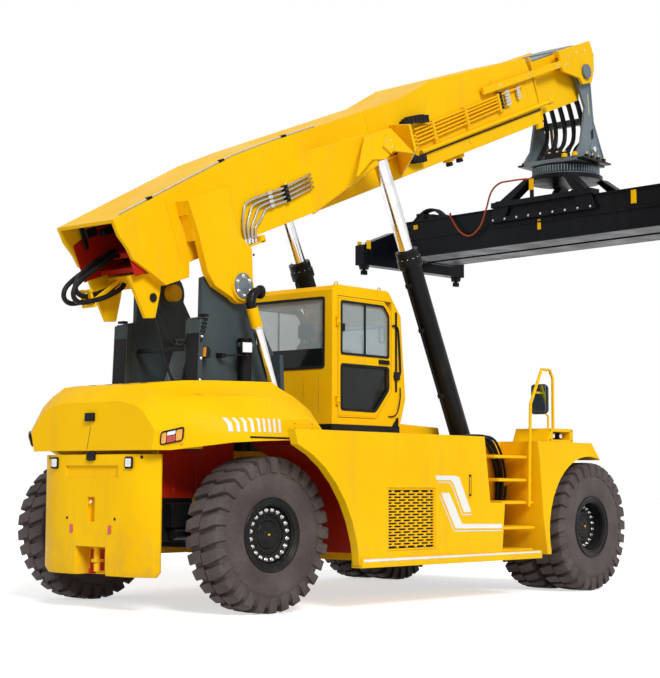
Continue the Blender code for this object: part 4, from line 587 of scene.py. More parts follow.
CRIMSON = lens("red lens", (0.50, 0.015, 0.012))
CRYSTAL = lens("clear lens", (0.80, 0.84, 0.86), 140)
CLOTH = woven("seat cloth", (0.022, 0.023, 0.025))
ORANGE_HOSE = rubber("orange hose", (0.42, 0.07, 0.015), (0.50, 0.10, 0.03), 0.5)

NODE_MATERIALS = {"yellow_paint": YELLOW, "grey_paint": GREY, "navy_paint": NAVY, "red_paint": RED,
                  "black_paint": BLACK, "tyre_rubber": TYRE, "chrome_steel": CHROME, "dark_glass": CLEAR,
                  "black_plastic": PLASTIC, "seat_cloth": CLOTH}
SLOT_OF = {made.name: slot for slot, made in NODE_MATERIALS.items()}
SLOT_OF.update({STEEL.name: "chrome_steel", TINTED.name: "dark_glass", HOSE.name: "black_plastic"})


def dress_nodes():
    # each node keeps its mesh; welding and splitting at sharp edges only change how it is shaded
    for row in frame["record"]["subparts"]:
        node = NODES[row["node"]]
        mesh = node.data
        mesh.materials.clear()
        mesh.materials.append(NODE_MATERIALS[row["material_slot"]])
        if "custom_normal" in mesh.attributes:
            mesh.attributes.remove(mesh.attributes["custom_normal"])
        for face in mesh.polygons:
            face.use_smooth = True
            face.material_index = 0
        weld = node.modifiers.new("weld", "WELD")
        weld.merge_threshold = 0.00005
        split = node.modifiers.new("split", "EDGE_SPLIT")
        split.split_angle = radians(32)
    NODES["windscreen"].data.materials[0] = SCREEN
    # the upright exhaust pipe takes black enamel, painted shade for the dark gap beside the outlet pipe
    NODES["exhaust_pipe"].data.materials[0] = BLACK
    # the towers take the darker copy of the grey enamel, painted shade
    for _, word in SIDES:
        NODES["boom_tower_" + word].data.materials[0] = SHADED_GREY


# Wheels

TYRE_RADIUS = 0.825
BORE = 0.335
LUGS = 28
# Half width share and depth below the tread of the carcass, from the middle to the bead
CARCASS = ((0.0, 0.052), (0.50, 0.053), (0.80, 0.064), (0.86, 0.084), (0.885, 0.115), (0.893, 0.150),
           (0.905, 0.176), (0.94, 0.186), (0.975, 0.212), (0.99, 0.250), (0.985, 0.30), (0.955, 0.355),
           (0.915, 0.395), (0.870, 0.425), (0.862, 0.434), (0.868, 0.444), (0.835, 0.462), (0.805, 0.475),
           (0.80, 0.49), (0.74, 0.49))
# Lug sections: outer share and depth, inner share and depth, half turn and lead in lug pitches
LUG_RINGS = ((0.03, 0.000, 0.03, 0.058, 0.34, 0.34), (0.42, 0.000, 0.42, 0.058, 0.33, 0.22),
             (0.84, 0.006, 0.80, 0.070, 0.31, 0.05), (0.955, 0.020, 0.86, 0.100, 0.30, 0.01),
             (0.990, 0.050, 0.875, 0.130, 0.290, 0.0), (0.998, 0.110, 0.880, 0.155, 0.275, 0.0),
             (0.990, 0.168, 0.890, 0.178, 0.262, 0.0))


def make_tyre(node, half, axis):
    centre = middle_of(node)
    first = UP
    second = axis.cross(first)
    shape = Shape()

    def place(turn, across, radius):
        return centre + axis * across + (first * cos(turn) + second * sin(turn)) * radius

    profile = [(share * half, TYRE_RADIUS - depth) for share, depth in CARCASS]
    profile = [(-a, r) for a, r in profile[:0:-1]] + profile
    rings = []
    segments = LUGS * 4
    for i in range(segments):
        rings.append([place(2 * pi * i / segments, a, r) for a, r in profile])
    shape.loft(rings, run_closed=True)
    pitch = 2 * pi / LUGS
    for side in BOTH:
        for lug in range(LUGS):
            start = (lug + (0.5 if side > 0 else 0)) * pitch
            rings = []
            for out, low, inside, deep, half_turn, lead in LUG_RINGS:
                turn = start + side * lead * pitch
                near, far = turn - half_turn * pitch, turn + half_turn * pitch
                wide = 0.05 * pitch
                rings.append([place(near, side * out * half, TYRE_RADIUS - low),
                              place(far, side * out * half, TYRE_RADIUS - low),
                              place(far + wide, side * inside * half, TYRE_RADIUS - deep),
                              place(near - wide, side * inside * half, TYRE_RADIUS - deep)])
            shape.loft(rings)
    body = NODES[node]["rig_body"]
    made = piece("lugged_" + node, shape, TYRE, 0.005, body)
    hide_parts(node)


def make_rim_details(side, centre, axis, half, disc, body, radius, hub_end):
    # places are distances outwards from the tyre's middle
    out = axis * side
    bead = half * 0.80
    ring = [(bead - 0.012, BORE - 0.012), (bead + 0.004, BORE + 0.045), (bead + 0.012, BORE + 0.056),
            (bead + 0.026, BORE + 0.058), (bead + 0.034, BORE + 0.048), (bead + 0.030, BORE + 0.034),
            (bead + 0.018, BORE + 0.018), (bead + 0.020, BORE + 0.002), (bead + 0.010, BORE - 0.014)]
    shape = Shape()
    shape.lathe(ring, centre, out, 72)
    dish = [(disc - 0.020, 0.001), (disc - 0.020, 0.322), (disc - 0.006, 0.326), (disc, 0.316),
            (disc, 0.222), (disc - 0.010, 0.212)]
    hub = [(-0.016, 0.200), (-0.004, 0.188), (-0.004, 0.150), (0.006, 0.138), (0.010, 0.060),
           (0.016, 0.054), (0.016, 0.001)]
    shape.lathe(dish + [(hub_end + shift, radius) for shift, radius in hub], centre, out, 64)
    shape.lathe([(disc - 0.004, 0.284), (disc + 0.010, 0.287), (disc + 0.012, 0.279), (disc - 0.004, 0.276)],
                centre, out, 48)
    valve = centre + out * disc + UP * 0.30
    shape.rod(valve, valve + out * 0.05 - UP * 0.02, 0.008, 8)
    nuts = Shape()
    nuts.bolts([centre + out * disc + way * radius for way in circle(UP, out.cross(UP), 20, pi / 20)], out,
               0.0165, 0.9)
    cap = centre + out * (hub_end + 0.006)
    shape.bolts([cap + way * 0.105 for way in circle(UP, out.cross(UP), 10)], out, 0.009)
    piece("wheel_disc_" + body, shape, BLACK, 0.002, body)
    piece("wheel_nuts_" + body, nuts, ZINC, 0.0015, body)
    nipple = Shape()
    nipple.rod(centre + out * (hub_end + 0.012), centre + out * (hub_end + 0.030), 0.014, 12, 0.010)
    piece("hub_plug_" + body, nipple, YELLOW, 0.002, body)


def make_wheels():
    steered = Vector((-sin(STEER), cos(STEER), 0))
    for side, word in SIDES:
        make_tyre("tyre_rear_" + word, 0.25, steered)
        make_tyre("tyre_front_outer_" + word, 0.225, LEFT)
        make_tyre("tyre_front_inner_" + word, 0.225, LEFT)
        centre = middle_of("tyre_rear_" + word)
        make_rim_details(side, centre, steered, 0.25, 0.165, "rear_wheel_" + word, 0.262, 0.150)
        centre = middle_of("tyre_front_outer_" + word)
        make_rim_details(side, centre, LEFT, 0.225, 0.045, "front_wheel_" + word, 0.252, 0.075)


def make_axle_details():
    shape = Shape()
    rear = 0.30
    shape.rod(at(-rear, -0.42, 0.84), at(-rear, 0.42, 0.84), 0.075, 20)
    for side in BOTH:
        shape.rod(at(-rear, side * 0.42, 0.84), at(-rear, side * 0.47, 0.84), 0.088, 20)
        shape.rod(at(-rear, side * 0.47, 0.84), at(-rear + 0.05, side * 0.80, 0.83), 0.034, 14)
        shape.slab(at(-rear + 0.06, side * 0.30, 0.84), (0.18, 0.06, 0.19))
        shape.slab(at(-rear + 0.10, side * 0.80, 0.83), (0.18, 0.08, 0.10))
    piece("steering_cylinder", shape, BLACK, 0.004)
    for side, word in SIDES:
        hose("steering_hose_" + word,
             [at(-0.20, side * 0.36, 0.93), at(-0.30, side * 0.36, 1.01), at(-0.33, side * 0.32, 1.13),
              at(-0.25, side * 0.27, 1.24), at(-0.12, side * 0.24, 1.28)],
             0.014, ("rear_steer_axle", "chassis_frame"), "chassis")
    lines = Shape()
    for step in range(3):
        y = 0.05 + 0.06 * step
        lines.sweep(curve_through([at(-0.05 + 0.05 * step, -0.70, 1.00), at(-0.02, -0.40, 1.03),
                                   at(0.0, -0.10, 1.02 + 0.02 * step), at(0.02, y, 1.12)]), 0.011, 8)
    piece("axle_pipes", lines, BLACK)


# Counterweight and hood


def tail_x():
    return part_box("counterweight")[0].x - ORIGIN.x


def make_counterweight_details():
    back = tail_x()
    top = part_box("counterweight")[1].z
    black, lamps, marks, holes = shapes(4)
    for side in BOTH:
        for shape, size, depth in ((black, 0.115, 0.018), (lamps, 0.080, 0.026)):
            corners = panel(at(back, side * 0.60, 1.572), LEFT * size / 2, UP * size * 0.55, size * 0.18)
            shape.prism(corners, AHEAD * -depth)
        # black discs on the holes, painted shade for their dark insides
        for y, z, radius in ((0.385, 0.98, 0.016), (0.744, 1.63, 0.018)):
            place, normal = surface("counterweight", at(back - 1, side * y, z), (1, 0, 0))
            holes.rod(place - normal * 0.002, place + normal * 0.004, radius, 14)
        marks.prism(panel(at(back, side * 0.31, 0.867), LEFT * 0.022, UP * 0.045, 0.010), AHEAD * -0.010)
    black.slab(at(back - 0.006, 0.0, top - 0.02), (0.034, 0.13, 0.08))
    black.rod(at(back - 0.02, -0.045, top - 0.055), at(back - 0.02, 0.045, top - 0.055), 0.012, 12)
    black.slab(at(back - 0.012, 0.0, top + 0.022), (0.022, 0.07, 0.03))
    piece("rear_lamp_frames", black, PLASTIC, 0.003)
    piece("rear_lamps", lamps, CRYSTAL, 0.003)
    piece("rear_reflectors", marks, CRIMSON, 0.002)
    piece("rear_hole_shade_discs", holes, BLACK, 0.001)
    dot = Shape()
    dot.rod(at(back, 0.0, 1.156), at(back - 0.006, 0.0, 1.156), 0.020, 20, 0.017)
    piece("rear_plug", dot, WHITE, 0.001)


def make_engine_bay():
    back = tail_x()
    red, dark = shapes(2)
    red.slab(at(back + 0.185, 0.0, 0.53), (0.012, 0.40, 0.22))
    red.slab(at(back + 0.11, 0.085, 0.42), (0.10, 0.012, 0.06))
    for side in BOTH:
        ends = sorted((side * 0.602, side * 0.610))
        red.block(at(-0.72, ends[0], 1.20), at(0.42, ends[1], 1.83))
        for x in (-0.50, -0.16, 0.18):
            red.slab(at(x, side * 0.616, 1.52), (0.03, 0.012, 0.58))
        dark.block(at(-0.72, ends[0], 0.74), at(-0.22, ends[1], 1.20))
        dark.slab(at(-0.46, side * 0.68, 1.02), (0.36, 0.12, 0.26))
        dark.rod(at(-0.60, side * 0.70, 0.82), at(-0.30, side * 0.70, 0.82), 0.06, 20)
    piece("engine_bay_boxes", dark, BLACK, 0.006)
    piece("tow_pocket_lining", red, RED, 0.003)
    rod_end = Shape()
    rod_end.lathe([(0, 0.001), (0, 0.055), (0.014, 0.052), (0.018, 0.030), (0.05, 0.028), (0.055, 0.001)],
                  at(back + 0.10, 0, 0.70), UP, 20)
    piece("tow_pin_head", rod_end, ZINC, 0.002)


def make_tail_lamps():
    lenses = {"frame": Shape(), "amber": Shape(), "red": Shape(), "clear": Shape()}
    for side in BOTH:
        place, normal = surface("engine_hood", at(BEHIND, side * 1.135, 1.845), (1, 0, 0))
        wide = UP.cross(normal).normalized() * -side
        high = normal.cross(wide).normalized()
        high = high if high.z > 0 else -high
        wide = (wide + high * 0.22).normalized()
        slope = high + wide * 0.12

        def pane(key, u0, u1, v0, v1, depth, corner):
            points = [place + wide * u + slope * v for u, v in ((u0, v0), (u1, v0), (u1, v1), (u0, v1))]
            points = [p - normal * 0.03 for p in rounded(points, corner, 3)]
            lenses[key].prism(points, normal * (0.03 + depth))

        pane("frame", -0.128, 0.128, -0.072, 0.072, 0.016, 0.036)
        pane("amber", 0.045, 0.112, -0.056, 0.056, 0.024, 0.018)
        pane("amber", -0.112, -0.060, -0.056, 0.056, 0.024, 0.018)
        pane("red", -0.053, 0.038, -0.056, 0.010, 0.024, 0.008)
        pane("clear", -0.053, 0.038, 0.018, 0.056, 0.024, 0.008)
        mark, facing = surface("engine_hood", at(BEHIND, side * 1.20, 1.775), (1, 0, 0))
        lenses["amber"].rod(mark - facing * 0.004, mark + facing * 0.010, 0.016, 14)
    piece("tail_lamp_frames", lenses["frame"], PLASTIC, 0.004)
    piece("tail_lamp_amber", lenses["amber"], AMBER, 0.003)
    piece("tail_lamp_red", lenses["red"], CRIMSON, 0.003)
    piece("tail_lamp_clear", lenses["clear"], CRYSTAL, 0.003)


def make_hood_details():
    stripes, seams, plates, trims = shapes(4)
    for side in BOTH:
        inward = (0, -side, 0)

        def beside(x, z):
            return at(x, side * BESIDE, z)

        for i in range(9):
            start = -0.676 + 0.0758 * i
            corners = [beside(start + x, z) for x, z in
                       ((0.0, 2.036), (0.036, 2.036), (0.058, 1.892), (0.022, 1.892))]
            patch(stripes, "engine_hood", corners, inward, (4, 12), 0.004)
        corners = [beside(x, z) for x, z in ((0.17, 2.015), (0.475, 2.015), (0.475, 1.93), (0.17, 1.93))]
        patch(plates, "engine_hood", corners, inward, (4, 2), 0.003)
        for x in (0.19, 0.455):
            for z in (1.945, 2.0):
                mark, facing = surface("engine_hood", beside(x, z), inward)
                trims.rod(mark, mark + facing * 0.006, 0.007, 8)
        # a rubber edge along the foot of the wheel arch
        points = []
        for k in range(13):
            mark, facing = surface("engine_hood", beside(-0.44 + 1.055 * k / 12, 1.846), inward)
            points.append(mark - UP * 0.006)
        trims.sweep(points, 0.011, 8)
    # centre seam, dark patches for the slots that are painted shade for their insides, and the grab on top
    corners = [at(BEHIND, y, z) for y, z in ((0.0, 1.95), (0.007, 1.95), (0.062, 1.71), (0.055, 1.71))]
    patch(seams, "engine_hood", corners, AHEAD, (1, 6), 0.0012)
    for y in (-0.42, -0.14, 0.14, 0.42):
        corners = [at(x, y + half, ABOVE) for x, half in
                   ((-0.80, -0.045), (-0.80, 0.045), (-0.775, 0.045), (-0.775, -0.045))]
        patch(seams, "engine_hood", corners, (0, 0, -1), (2, 1), 0.004)
    mark, facing = surface("engine_hood", at(BEHIND, 0.0, 2.06), (1, 0, 0))
    trims.slab(mark + facing * 0.012, (0.05, 0.13, 0.09))
    piece("hood_stripes", stripes, WHITE)
    piece("hood_blank_plates", plates, YELLOW)
    piece("hood_seams_and_slot_shade", seams, PLASTIC)
    piece("hood_trims", trims, PLASTIC, 0.002)


# Sides


UPPER_BAND = (((2.245, 1.463), (2.628, 1.463), (2.708, 1.445), (2.944, 1.037)),
              ((2.272, 1.408), (2.533, 1.408), (2.594, 1.367), (2.798, 1.037)))
UPPER_LINE = (((2.282, 1.392), (2.508, 1.392), (2.572, 1.350), (2.768, 1.018), (2.950, 1.018)),
              ((2.290, 1.379), (2.500, 1.379), (2.558, 1.342), (2.760, 1.004), (2.957, 1.004)))
LOWER_BAND = (((2.350, 1.266), (2.631, 0.852), (3.572, 0.838)),
              ((2.512, 1.266), (2.763, 0.905), (3.572, 0.892)))
LOWER_LINE = (((2.332, 1.236), (2.606, 0.832), (3.572, 0.818)),
              ((2.320, 1.230), (2.598, 0.818), (3.572, 0.805)))


def make_skin_marks():
    white, dark, handles = shapes(3)
    for side in BOTH:
        for band in (UPPER_BAND, UPPER_LINE, LOWER_BAND, LOWER_LINE):
            flat_run(white, band, SKIN_Y, side)
        # a white band low on the sill, a painted highlight for the light caught along the sill's top edge
        flat_run(white, (((0.93, 0.555), (4.36, 0.548)), ((0.93, 0.522), (4.36, 0.527))), 2.08, side)
        out = outward(side)
        middle = at(2.918, side * SKIN_Y, 1.35)
        ring_plate(handles, panel(middle - out * 0.004, AHEAD * 0.040, UP * 0.142, 0.022), 0.014, out, 0.012)
        dark.prism(panel(middle - out * 0.002, AHEAD * 0.026, UP * 0.128, 0.018), out * 0.004)
        grip = middle + out * 0.004
        handles.rod(grip - UP * 0.10, grip + UP * 0.10, 0.009, 10)
    piece("skin_bands_and_sill_highlight", white, WHITE)
    piece("skin_handle_insets", dark, PLASTIC)
    piece("skin_handles", handles, YELLOW, 0.0015)


def make_grilles():
    # staggered slots between thin rails, in front of a dark mesh
    rows, columns, border, depth = 20, 5, 0.022, 0.022
    wires = 24
    for side, word in SIDES:
        low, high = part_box("grille_" + word)
        face = side * (SKIN_Y - 0.008)
        shape, mesh = shapes(2)
        x0, x1 = low.x - ORIGIN.x + 0.001, high.x - ORIGIN.x - 0.001
        z0, z1 = low.z + 0.001, high.z - 0.001
        back = face - side * depth

        def bar(xa, xb, za, zb):
            ends = sorted((face, back))
            shape.block(at(xa, ends[0], za), at(xb, ends[1], zb))

        pitch = (z1 - z0 - 2 * border) / rows
        bar(x0, x1, z0, z0 + border)
        bar(x0, x1, z1 - border, z1)
        bar(x0, x0 + border, z0 + border, z1 - border)
        bar(x1 - border, x1, z0 + border, z1 - border)
        rail = pitch * 0.42
        long = (x1 - x0 - 2 * border) / columns
        for row in range(rows):
            z = z0 + border + row * pitch
            if row:
                bar(x0 + border, x1 - border, z - rail / 2, z + rail / 2)
            shift = 0.5 * (row % 2)
            for column in range(1, columns + 1):
                x = x0 + border + (column - shift) * long
                if x < x1 - border - 0.01:
                    bar(x - 0.017, x + 0.017, z + rail / 2 - 0.001, z + pitch - rail / 2 + 0.001)
        made = piece("slotted_grille_" + word, shape, YELLOW, 0.0015)
        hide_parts("grille_" + word)
        ends = sorted((back - side * 0.002, back - side * 0.008))
        mesh.block(at(x0, ends[0], z0), at(x1, ends[1], z1))
        for k in range(wires):
            x = x0 + (x1 - x0) * (k + 0.5) / wires
            mesh.rod(at(x, back, z0), at(x, back, z1), 0.003, 6)
        piece("grille_screen_" + word, mesh, PLASTIC)


TREADS = ((3.59, 4.37, 1.7195), (3.69, 4.40, 1.434), (3.75, 4.43, 1.159), (3.78, 4.46, 0.851))


def make_step_details():
    studs, braces, plugs = shapes(3)
    for side in BOTH:
        for start, end, z in TREADS:
            for i in range(13):
                for j in range(7):
                    x = start + 0.04 + (end - start - 0.08) * (i + 0.5 * (j % 2)) / 13
                    place = at(x, side * (1.545 + 0.055 * j), z)
                    studs.rod(place, place + UP * 0.006, 0.011, 6, 0.006)
            for x in (start + 0.16, end - 0.12):
                brace = [at(x, side * y, z - drop) for y,
                         drop in ((1.50, 0.036), (1.74, 0.036), (1.50, 0.13))]
                braces.prism(brace, AHEAD * 0.014)
        for x, z in ((4.20, 1.02), (4.28, 0.70), (3.50, 1.60)):
            plugs.bolt(at(x, side * 1.489, z), outward(side), 0.016)
    piece("tread_studs", studs, YELLOW)
    piece("tread_braces", braces, YELLOW, 0.002)
    piece("well_bolts", plugs, ZINC, 0.001)


def make_well_hoses():
    # they come down from the lift cylinder's foot into the step well
    for k, (dx, dy, radius) in enumerate(((0.0, 0.0, 0.027), (0.075, 0.03, 0.027), (0.13, 0.07, 0.016))):
        for side, word in SIDES:
            y = side * (1.53 + dy)
            tank = "side_tank_" + word
            hose("well_hose_%d_%s" % (k, word),
                 [at(3.70 + dx, side * (1.34 + dy), 1.90), at(3.78 + dx, side * (1.39 + dy), 1.955),
                  at(3.90 + dx, y, 1.93), at(4.05 + dx * 0.8, y + side * 0.02, 1.79),
                  at(4.16 + dx * 0.7, y + side * 0.02, 1.58), at(4.22 + dx * 0.6, y + side * 0.01, 1.36),
                  at(4.21 + dx * 0.5, y, 1.16), at(4.16 + dx * 0.5, y - side * 0.02, 1.0),
                  at(4.12 + dx * 0.5, side * 1.475, 0.92)],
                 radius, (tank, tank), "chassis")


def make_fender_details():
    lips, lamps, frames, box_in = shapes(4)
    arch, first, last, steps = 0.944, radians(78), radians(196), 14
    for side in BOTH:
        out = outward(side)
        centre = at(5.545, side * 2.046, 0.79)
        turns = [first + (last - first) * k / steps for k in range(steps + 1)]
        lips.sweep([centre + (AHEAD * cos(t) + UP * sin(t)) * arch for t in turns], 0.011, 8)
        for x in (4.86, 5.03):
            place = at(x, side * 1.90, 1.981)
            frames.rod(place, place + out * 0.055, 0.040, 20)
            frames.slab(place - UP * 0.035, (0.03, 0.05, 0.03))
            lamps.lathe([(0.050, 0.001), (0.050, 0.034), (0.062, 0.030), (0.068, 0.001)], place, out, 20)
        ends = sorted((side * 1.765, side * 1.772))
        box_in.block(at(4.755, ends[0], 1.932), at(5.145, ends[1], 2.028))
        frames.bolts([at(x, side * 2.02, z) for x in (4.69, 5.18) for z in (1.925, 2.045)], out, 0.008)
    piece("arch_lips", lips, YELLOW)
    piece("box_lamp_bodies", frames, PLASTIC, 0.002)
    piece("box_lamps", lamps, CRYSTAL)
    piece("lamp_box_linings", box_in, PLASTIC)


def make_mirrors():
    glasses, backs = shapes(2)
    for side, word in SIDES:
        middle = middle_of("mirror_" + word)
        glasses.prism(panel(middle - AHEAD * 0.041, LEFT * 0.105, UP * 0.175, 0.035), AHEAD * -0.004)
        shell = panel(middle - AHEAD * 0.040, LEFT * 0.12, UP * 0.19, 0.05, 5)
        small = panel(middle + AHEAD * 0.038, LEFT * 0.085, UP * 0.15, 0.05, 5)
        mid = [(p + q) / 2 + (p - q) * 0.18 for p, q in zip(shell, small)]
        mid = [Vector((middle.x + 0.012, p.y, p.z)) for p in mid]
        housing = Shape()
        housing.loft([shell, mid, small])
        made = piece("mirror_housing_" + word, housing, PLASTIC, 0.004)
        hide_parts("mirror_" + word)
        foot, top = at(4.715, side * 1.97, 1.905), at(4.725, side * 1.97, 2.22)
        backs.rod(foot, top, 0.014, 12)
        backs.rod(top, middle + AHEAD * 0.03 - UP * 0.12, 0.012, 12)
        backs.rod(foot - UP * 0.005, foot + UP * 0.007, 0.035, 16)
    piece("mirror_glasses", glasses, MIRROR)
    piece("mirror_posts", backs, YELLOW)


def make_deck_cover():
    half = 0.56
    cover, ribs = shapes(2)
    outline = ((3.34, 1.722), (4.42, 1.722), (4.30, 2.09), (3.40, 2.12), (3.34, 2.06))
    cover.prism([at(x, -half, z) for x, z in outline], LEFT * 2 * half)
    piece("deck_cover", cover, YELLOW, 0.012)
    for x in (3.62, 3.90, 4.12):
        ribs.slab(at(x, 0, 2.120 - (x - 3.40) * 0.033), (0.05, 1.0, 0.014))
    piece("deck_cover_ribs", ribs, YELLOW, 0.003)


def make_cab_mounts():
    lumps = Shape()
    for side in BOTH:
        for x in (2.03, 3.10):
            lumps.rod(at(x, side * 0.62, 1.905), at(x, side * 0.62, 1.952), 0.075, 20, 0.055)
        run = ((1.92, 0.66, 1.93), (1.96, 0.78, 1.955), (2.05, 0.86, 1.94), (2.10, 0.90, 1.91))
        lumps.sweep(curve_through([at(x, side * y, z) for x, y, z in run]), 0.030, 12)
    piece("cab_mounts", lumps, HOSE)


# Cab


def make_rear_window(seals, seams):
    back = 1.98
    window = [at(back, a, z) for a, z in ((-0.605, 2.735), (0.605, 2.735), (0.605, 3.606), (-0.605, 3.606))]
    band = Shape()
    band.block(at(back - 0.006, -0.59, 2.745), at(back - 0.001, 0.59, 2.982))
    piece("rear_window_band", band, TINTED)
    ring_plate(seals, rounded(window, 0.05), 0.032, -AHEAD, 0.010)
    top = 2.66
    for side in BOTH:
        for y, low in ((0.27, 2.40), (0.52, 2.21)):
            seams.slab(at(back, side * y, (top + low) / 2), (0.006, 0.007, top - low))
            seams.slab(at(back, side * (y - 0.012), 2.43), (0.004, 0.004, 0.42))


def make_cab_roof():
    # rim rods, lifting eyes and stiffening ribs
    roof = Shape()
    for side in BOTH:
        points = [at(2.03, side * 0.70, 3.742), at(3.05, side * 0.70, 3.742)]
        roof.sweep(points, 0.014, 8)
        for x in (2.12, 2.945):
            eye = at(x, side * 0.66, 3.738)
            roof.lathe([(-0.007, 0.022), (0.007, 0.022), (0.007, 0.034), (-0.007, 0.034)], eye + UP * 0.026,
                       LEFT, 20)
    for k in range(4):
        y = -0.45 + 0.30 * k
        roof.slab(at(2.53, y, 3.742), (0.86, 0.035, 0.012))
    piece("cab_roof_details", roof, YELLOW, 0.003)


def make_doors(rails):
    for side, word in SIDES:
        out = outward(side)
        door = "door_" + word
        low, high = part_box(door)
        glass_low, glass_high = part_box("door_glass_" + word)
        y = side * 0.721 + ORIGIN.y
        x0, x1, z0, z1 = glass_low.x, glass_high.x, glass_low.z, glass_high.z
        leaf = Shape()
        upper = ((x0, z0), (x1, z0), (x1, z1 - 0.12), (x1 - 0.11, z1), (x0, z1))
        centre = Vector(((x0 + x1) / 2, y, (z0 + z1) / 2))
        grow = 0.014
        grown = rounded([Vector((x + (grow if x > centre.x else -grow), y,
                                 z + (grow if z > centre.z else -grow)))
                         for x, z in upper], 0.04)
        ring_plate(leaf, grown, 0.030, out, 0.008)
        leaf.slab(centre - out * 0.004, (0.022, 0.016, z1 - z0 - 0.02))
        # the lower window, which the solid leaves open
        base = low.z
        height = high.z - low.z
        sill, head_z = base + 0.06 * height, base + 0.44 * height
        lower = [(x0, sill), (high.x - 0.32, sill), (high.x - 0.06, base + 0.36), (high.x - 0.06, head_z),
                 (x0, head_z)]
        pane = [Vector((x, y - side * 0.024, z)) for x, z in lower]
        lower_glass = Shape()
        lower_glass.prism([p - out * 0.003 for p in pane], out * 0.006)
        middle = sum(pane, Vector()) / len(pane) + out * 0.024
        corners = [Vector((x, y, z)) for x, z in lower]
        grown = rounded([p + (p - middle).normalized() * 0.016 for p in corners], 0.05)
        ring_plate(leaf, grown, 0.034, out, 0.008)
        leaf.slab(Vector((x0 + 0.02, y + side * 0.008, centre.z)), (0.05, 0.03, 0.09))
        handle = Vector((high.x - 0.16, y, z0 - 0.062))
        leaf.slab(handle + out * 0.012, (0.19, 0.024, 0.05))
        leaf.rod(handle + out * 0.034 - AHEAD * 0.07, handle + out * 0.034 + AHEAD * 0.075, 0.011, 10)
        for shift in (-0.07, 0.07):
            stud = handle + AHEAD * shift
            leaf.rod(stud, stud + out * 0.034, 0.009, 10)
        piece("door_seals_" + word, leaf, PLASTIC, 0.002, door)
        lines = Shape()
        bead = ((low.x + 0.055, base + 0.02), (high.x - 0.31, base + 0.02), (high.x - 0.02, base + 0.345),
                (high.x - 0.02, high.z - 0.13), (high.x - 0.145, high.z - 0.02),
                (low.x + 0.055, high.z - 0.02))
        ring_plate(lines, [Vector((x, y - side * 0.001, z)) for x, z in bead], 0.004, out, 0.003)
        piece("door_beads_" + word, lines, YELLOW, body=door)
        piece("door_lower_glass_" + word, lower_glass, TINTED, body=door)
        mirror = Vector((high.x - 0.10, y - side * 0.06, centre.z - 0.02))
        ring_plate(rails, panel(mirror, AHEAD * 0.055, UP * 0.115, 0.03), 0.012, -out, 0.02)


GRAB_RAIL = ((3.135, 0.715, 3.32), (3.145, 0.744, 3.325), (3.20, 0.744, 3.31), (3.235, 0.744, 3.20),
             (3.262, 0.744, 2.86), (3.262, 0.744, 2.74), (3.225, 0.744, 2.70), (3.155, 0.715, 2.695))
LOW_RAIL = ((3.285, 0.725, 2.56), (3.262, 0.745, 2.42), (3.205, 0.745, 2.245), (3.12, 0.742, 2.195),
            (3.05, 0.722, 2.19))
CAB_FOOT = ((3.12, 2.069), (3.245, 2.069), (3.245, 2.18), (3.215, 2.18))


def make_cab_rails(rails, low_rails, latches, seals):
    # black rails, a pillar trim and a foot at the cab's front corner
    for side in BOTH:
        for shape, run, radius, segments in ((rails, GRAB_RAIL, 0.013, 10), (low_rails, LOW_RAIL, 0.008, 8)):
            shape.sweep(curve_through([at(x, side * y, z) for x, y, z in run], 5), radius, segments)
        rails.slab(at(3.205, side * 0.733, 2.70), (0.09, 0.04, 0.10))
        latches.slab(at(3.20, side * 0.728, 3.0), (0.03, 0.014, 1.0))
        seals.prism([at(x, side * 0.722, z) for x, z in CAB_FOOT], outward(side) * 0.010)


def make_windscreen_trim(seals):
    # seal and wipers
    screen = [at(x, y, z) for x, y, z in ((3.352, -0.635, 2.497), (3.352, 0.635, 2.497),
                                          (3.322, 0.635, 3.352), (3.322, -0.635, 3.352))]
    normal = (screen[1] - screen[0]).cross(screen[3] - screen[0]).normalized()
    normal = normal if normal.x > 0 else -normal
    ring_plate(seals, rounded(screen, 0.05), 0.028, normal, 0.012)
    for y, lean in ((-0.30, 0.22), (0.30, 0.22)):
        start = at(3.368, y, 2.46)
        end = at(3.352, y + lean, 2.98)
        seals.rod(start, end, 0.009, 8)
        seals.rod(at(3.357, y + lean - 0.01, 2.70), at(3.338, y + lean + 0.02, 3.26), 0.011, 8)
        seals.rod(start - AHEAD * 0.04, start + AHEAD * 0.02, 0.025, 12)


def make_cab_details():
    seals, seams, rails, low_rails, latches = shapes(5)
    make_rear_window(seals, seams)
    make_cab_roof()
    make_doors(rails)
    make_cab_rails(rails, low_rails, latches, seals)
    make_windscreen_trim(seals)
    piece("cab_seals", seals, PLASTIC, 0.002)
    piece("cab_seams", seams, YELLOW)
    piece("cab_grab_rails", rails, PLASTIC)
    piece("cab_low_rails", low_rails, PLASTIC)
    piece("cab_pillar_trims", latches, PLASTIC, 0.003)


# Height and width shares of a pad's sections, from its underside up to its crown
PAD_SHARES = ((-1.0, 0.02), (-1.0, 0.5), (-0.98, 0.80), (-0.84, 0.92), (-0.4, 0.985), (-0.04, 1.0),
              (0.0, 0.975), (0.04, 1.0), (0.42, 0.975), (0.74, 0.90), (0.78, 0.865), (0.88, 0.80),
              (1.0, 0.55), (1.105, 0.25), (1.119, 0.02))


def cushion(name, middle, size, lean=0.0):
    # a crowned pad: full in the middle, pulled in at its seams
    segments, squareness = 56, 0.35
    turn = Matrix.Rotation(lean, 3, "Y")
    half = Vector(size) / 2
    top = PAD_SHARES[-1][0]

    def rim(value):
        return abs(value) ** squareness * (1 if value > 0 else -1)

    shape = Shape()
    rings = []
    for level, share in PAD_SHARES:
        wide, long, high = half.y * share, half.x * share, half.z * level / top
        rings.append([middle + turn @ Vector((long * rim(way.x), wide * rim(way.y), high))
                      for way in circle(AHEAD, LEFT, segments)])
    shape.loft(rings)
    made = piece(name, shape, CLOTH)


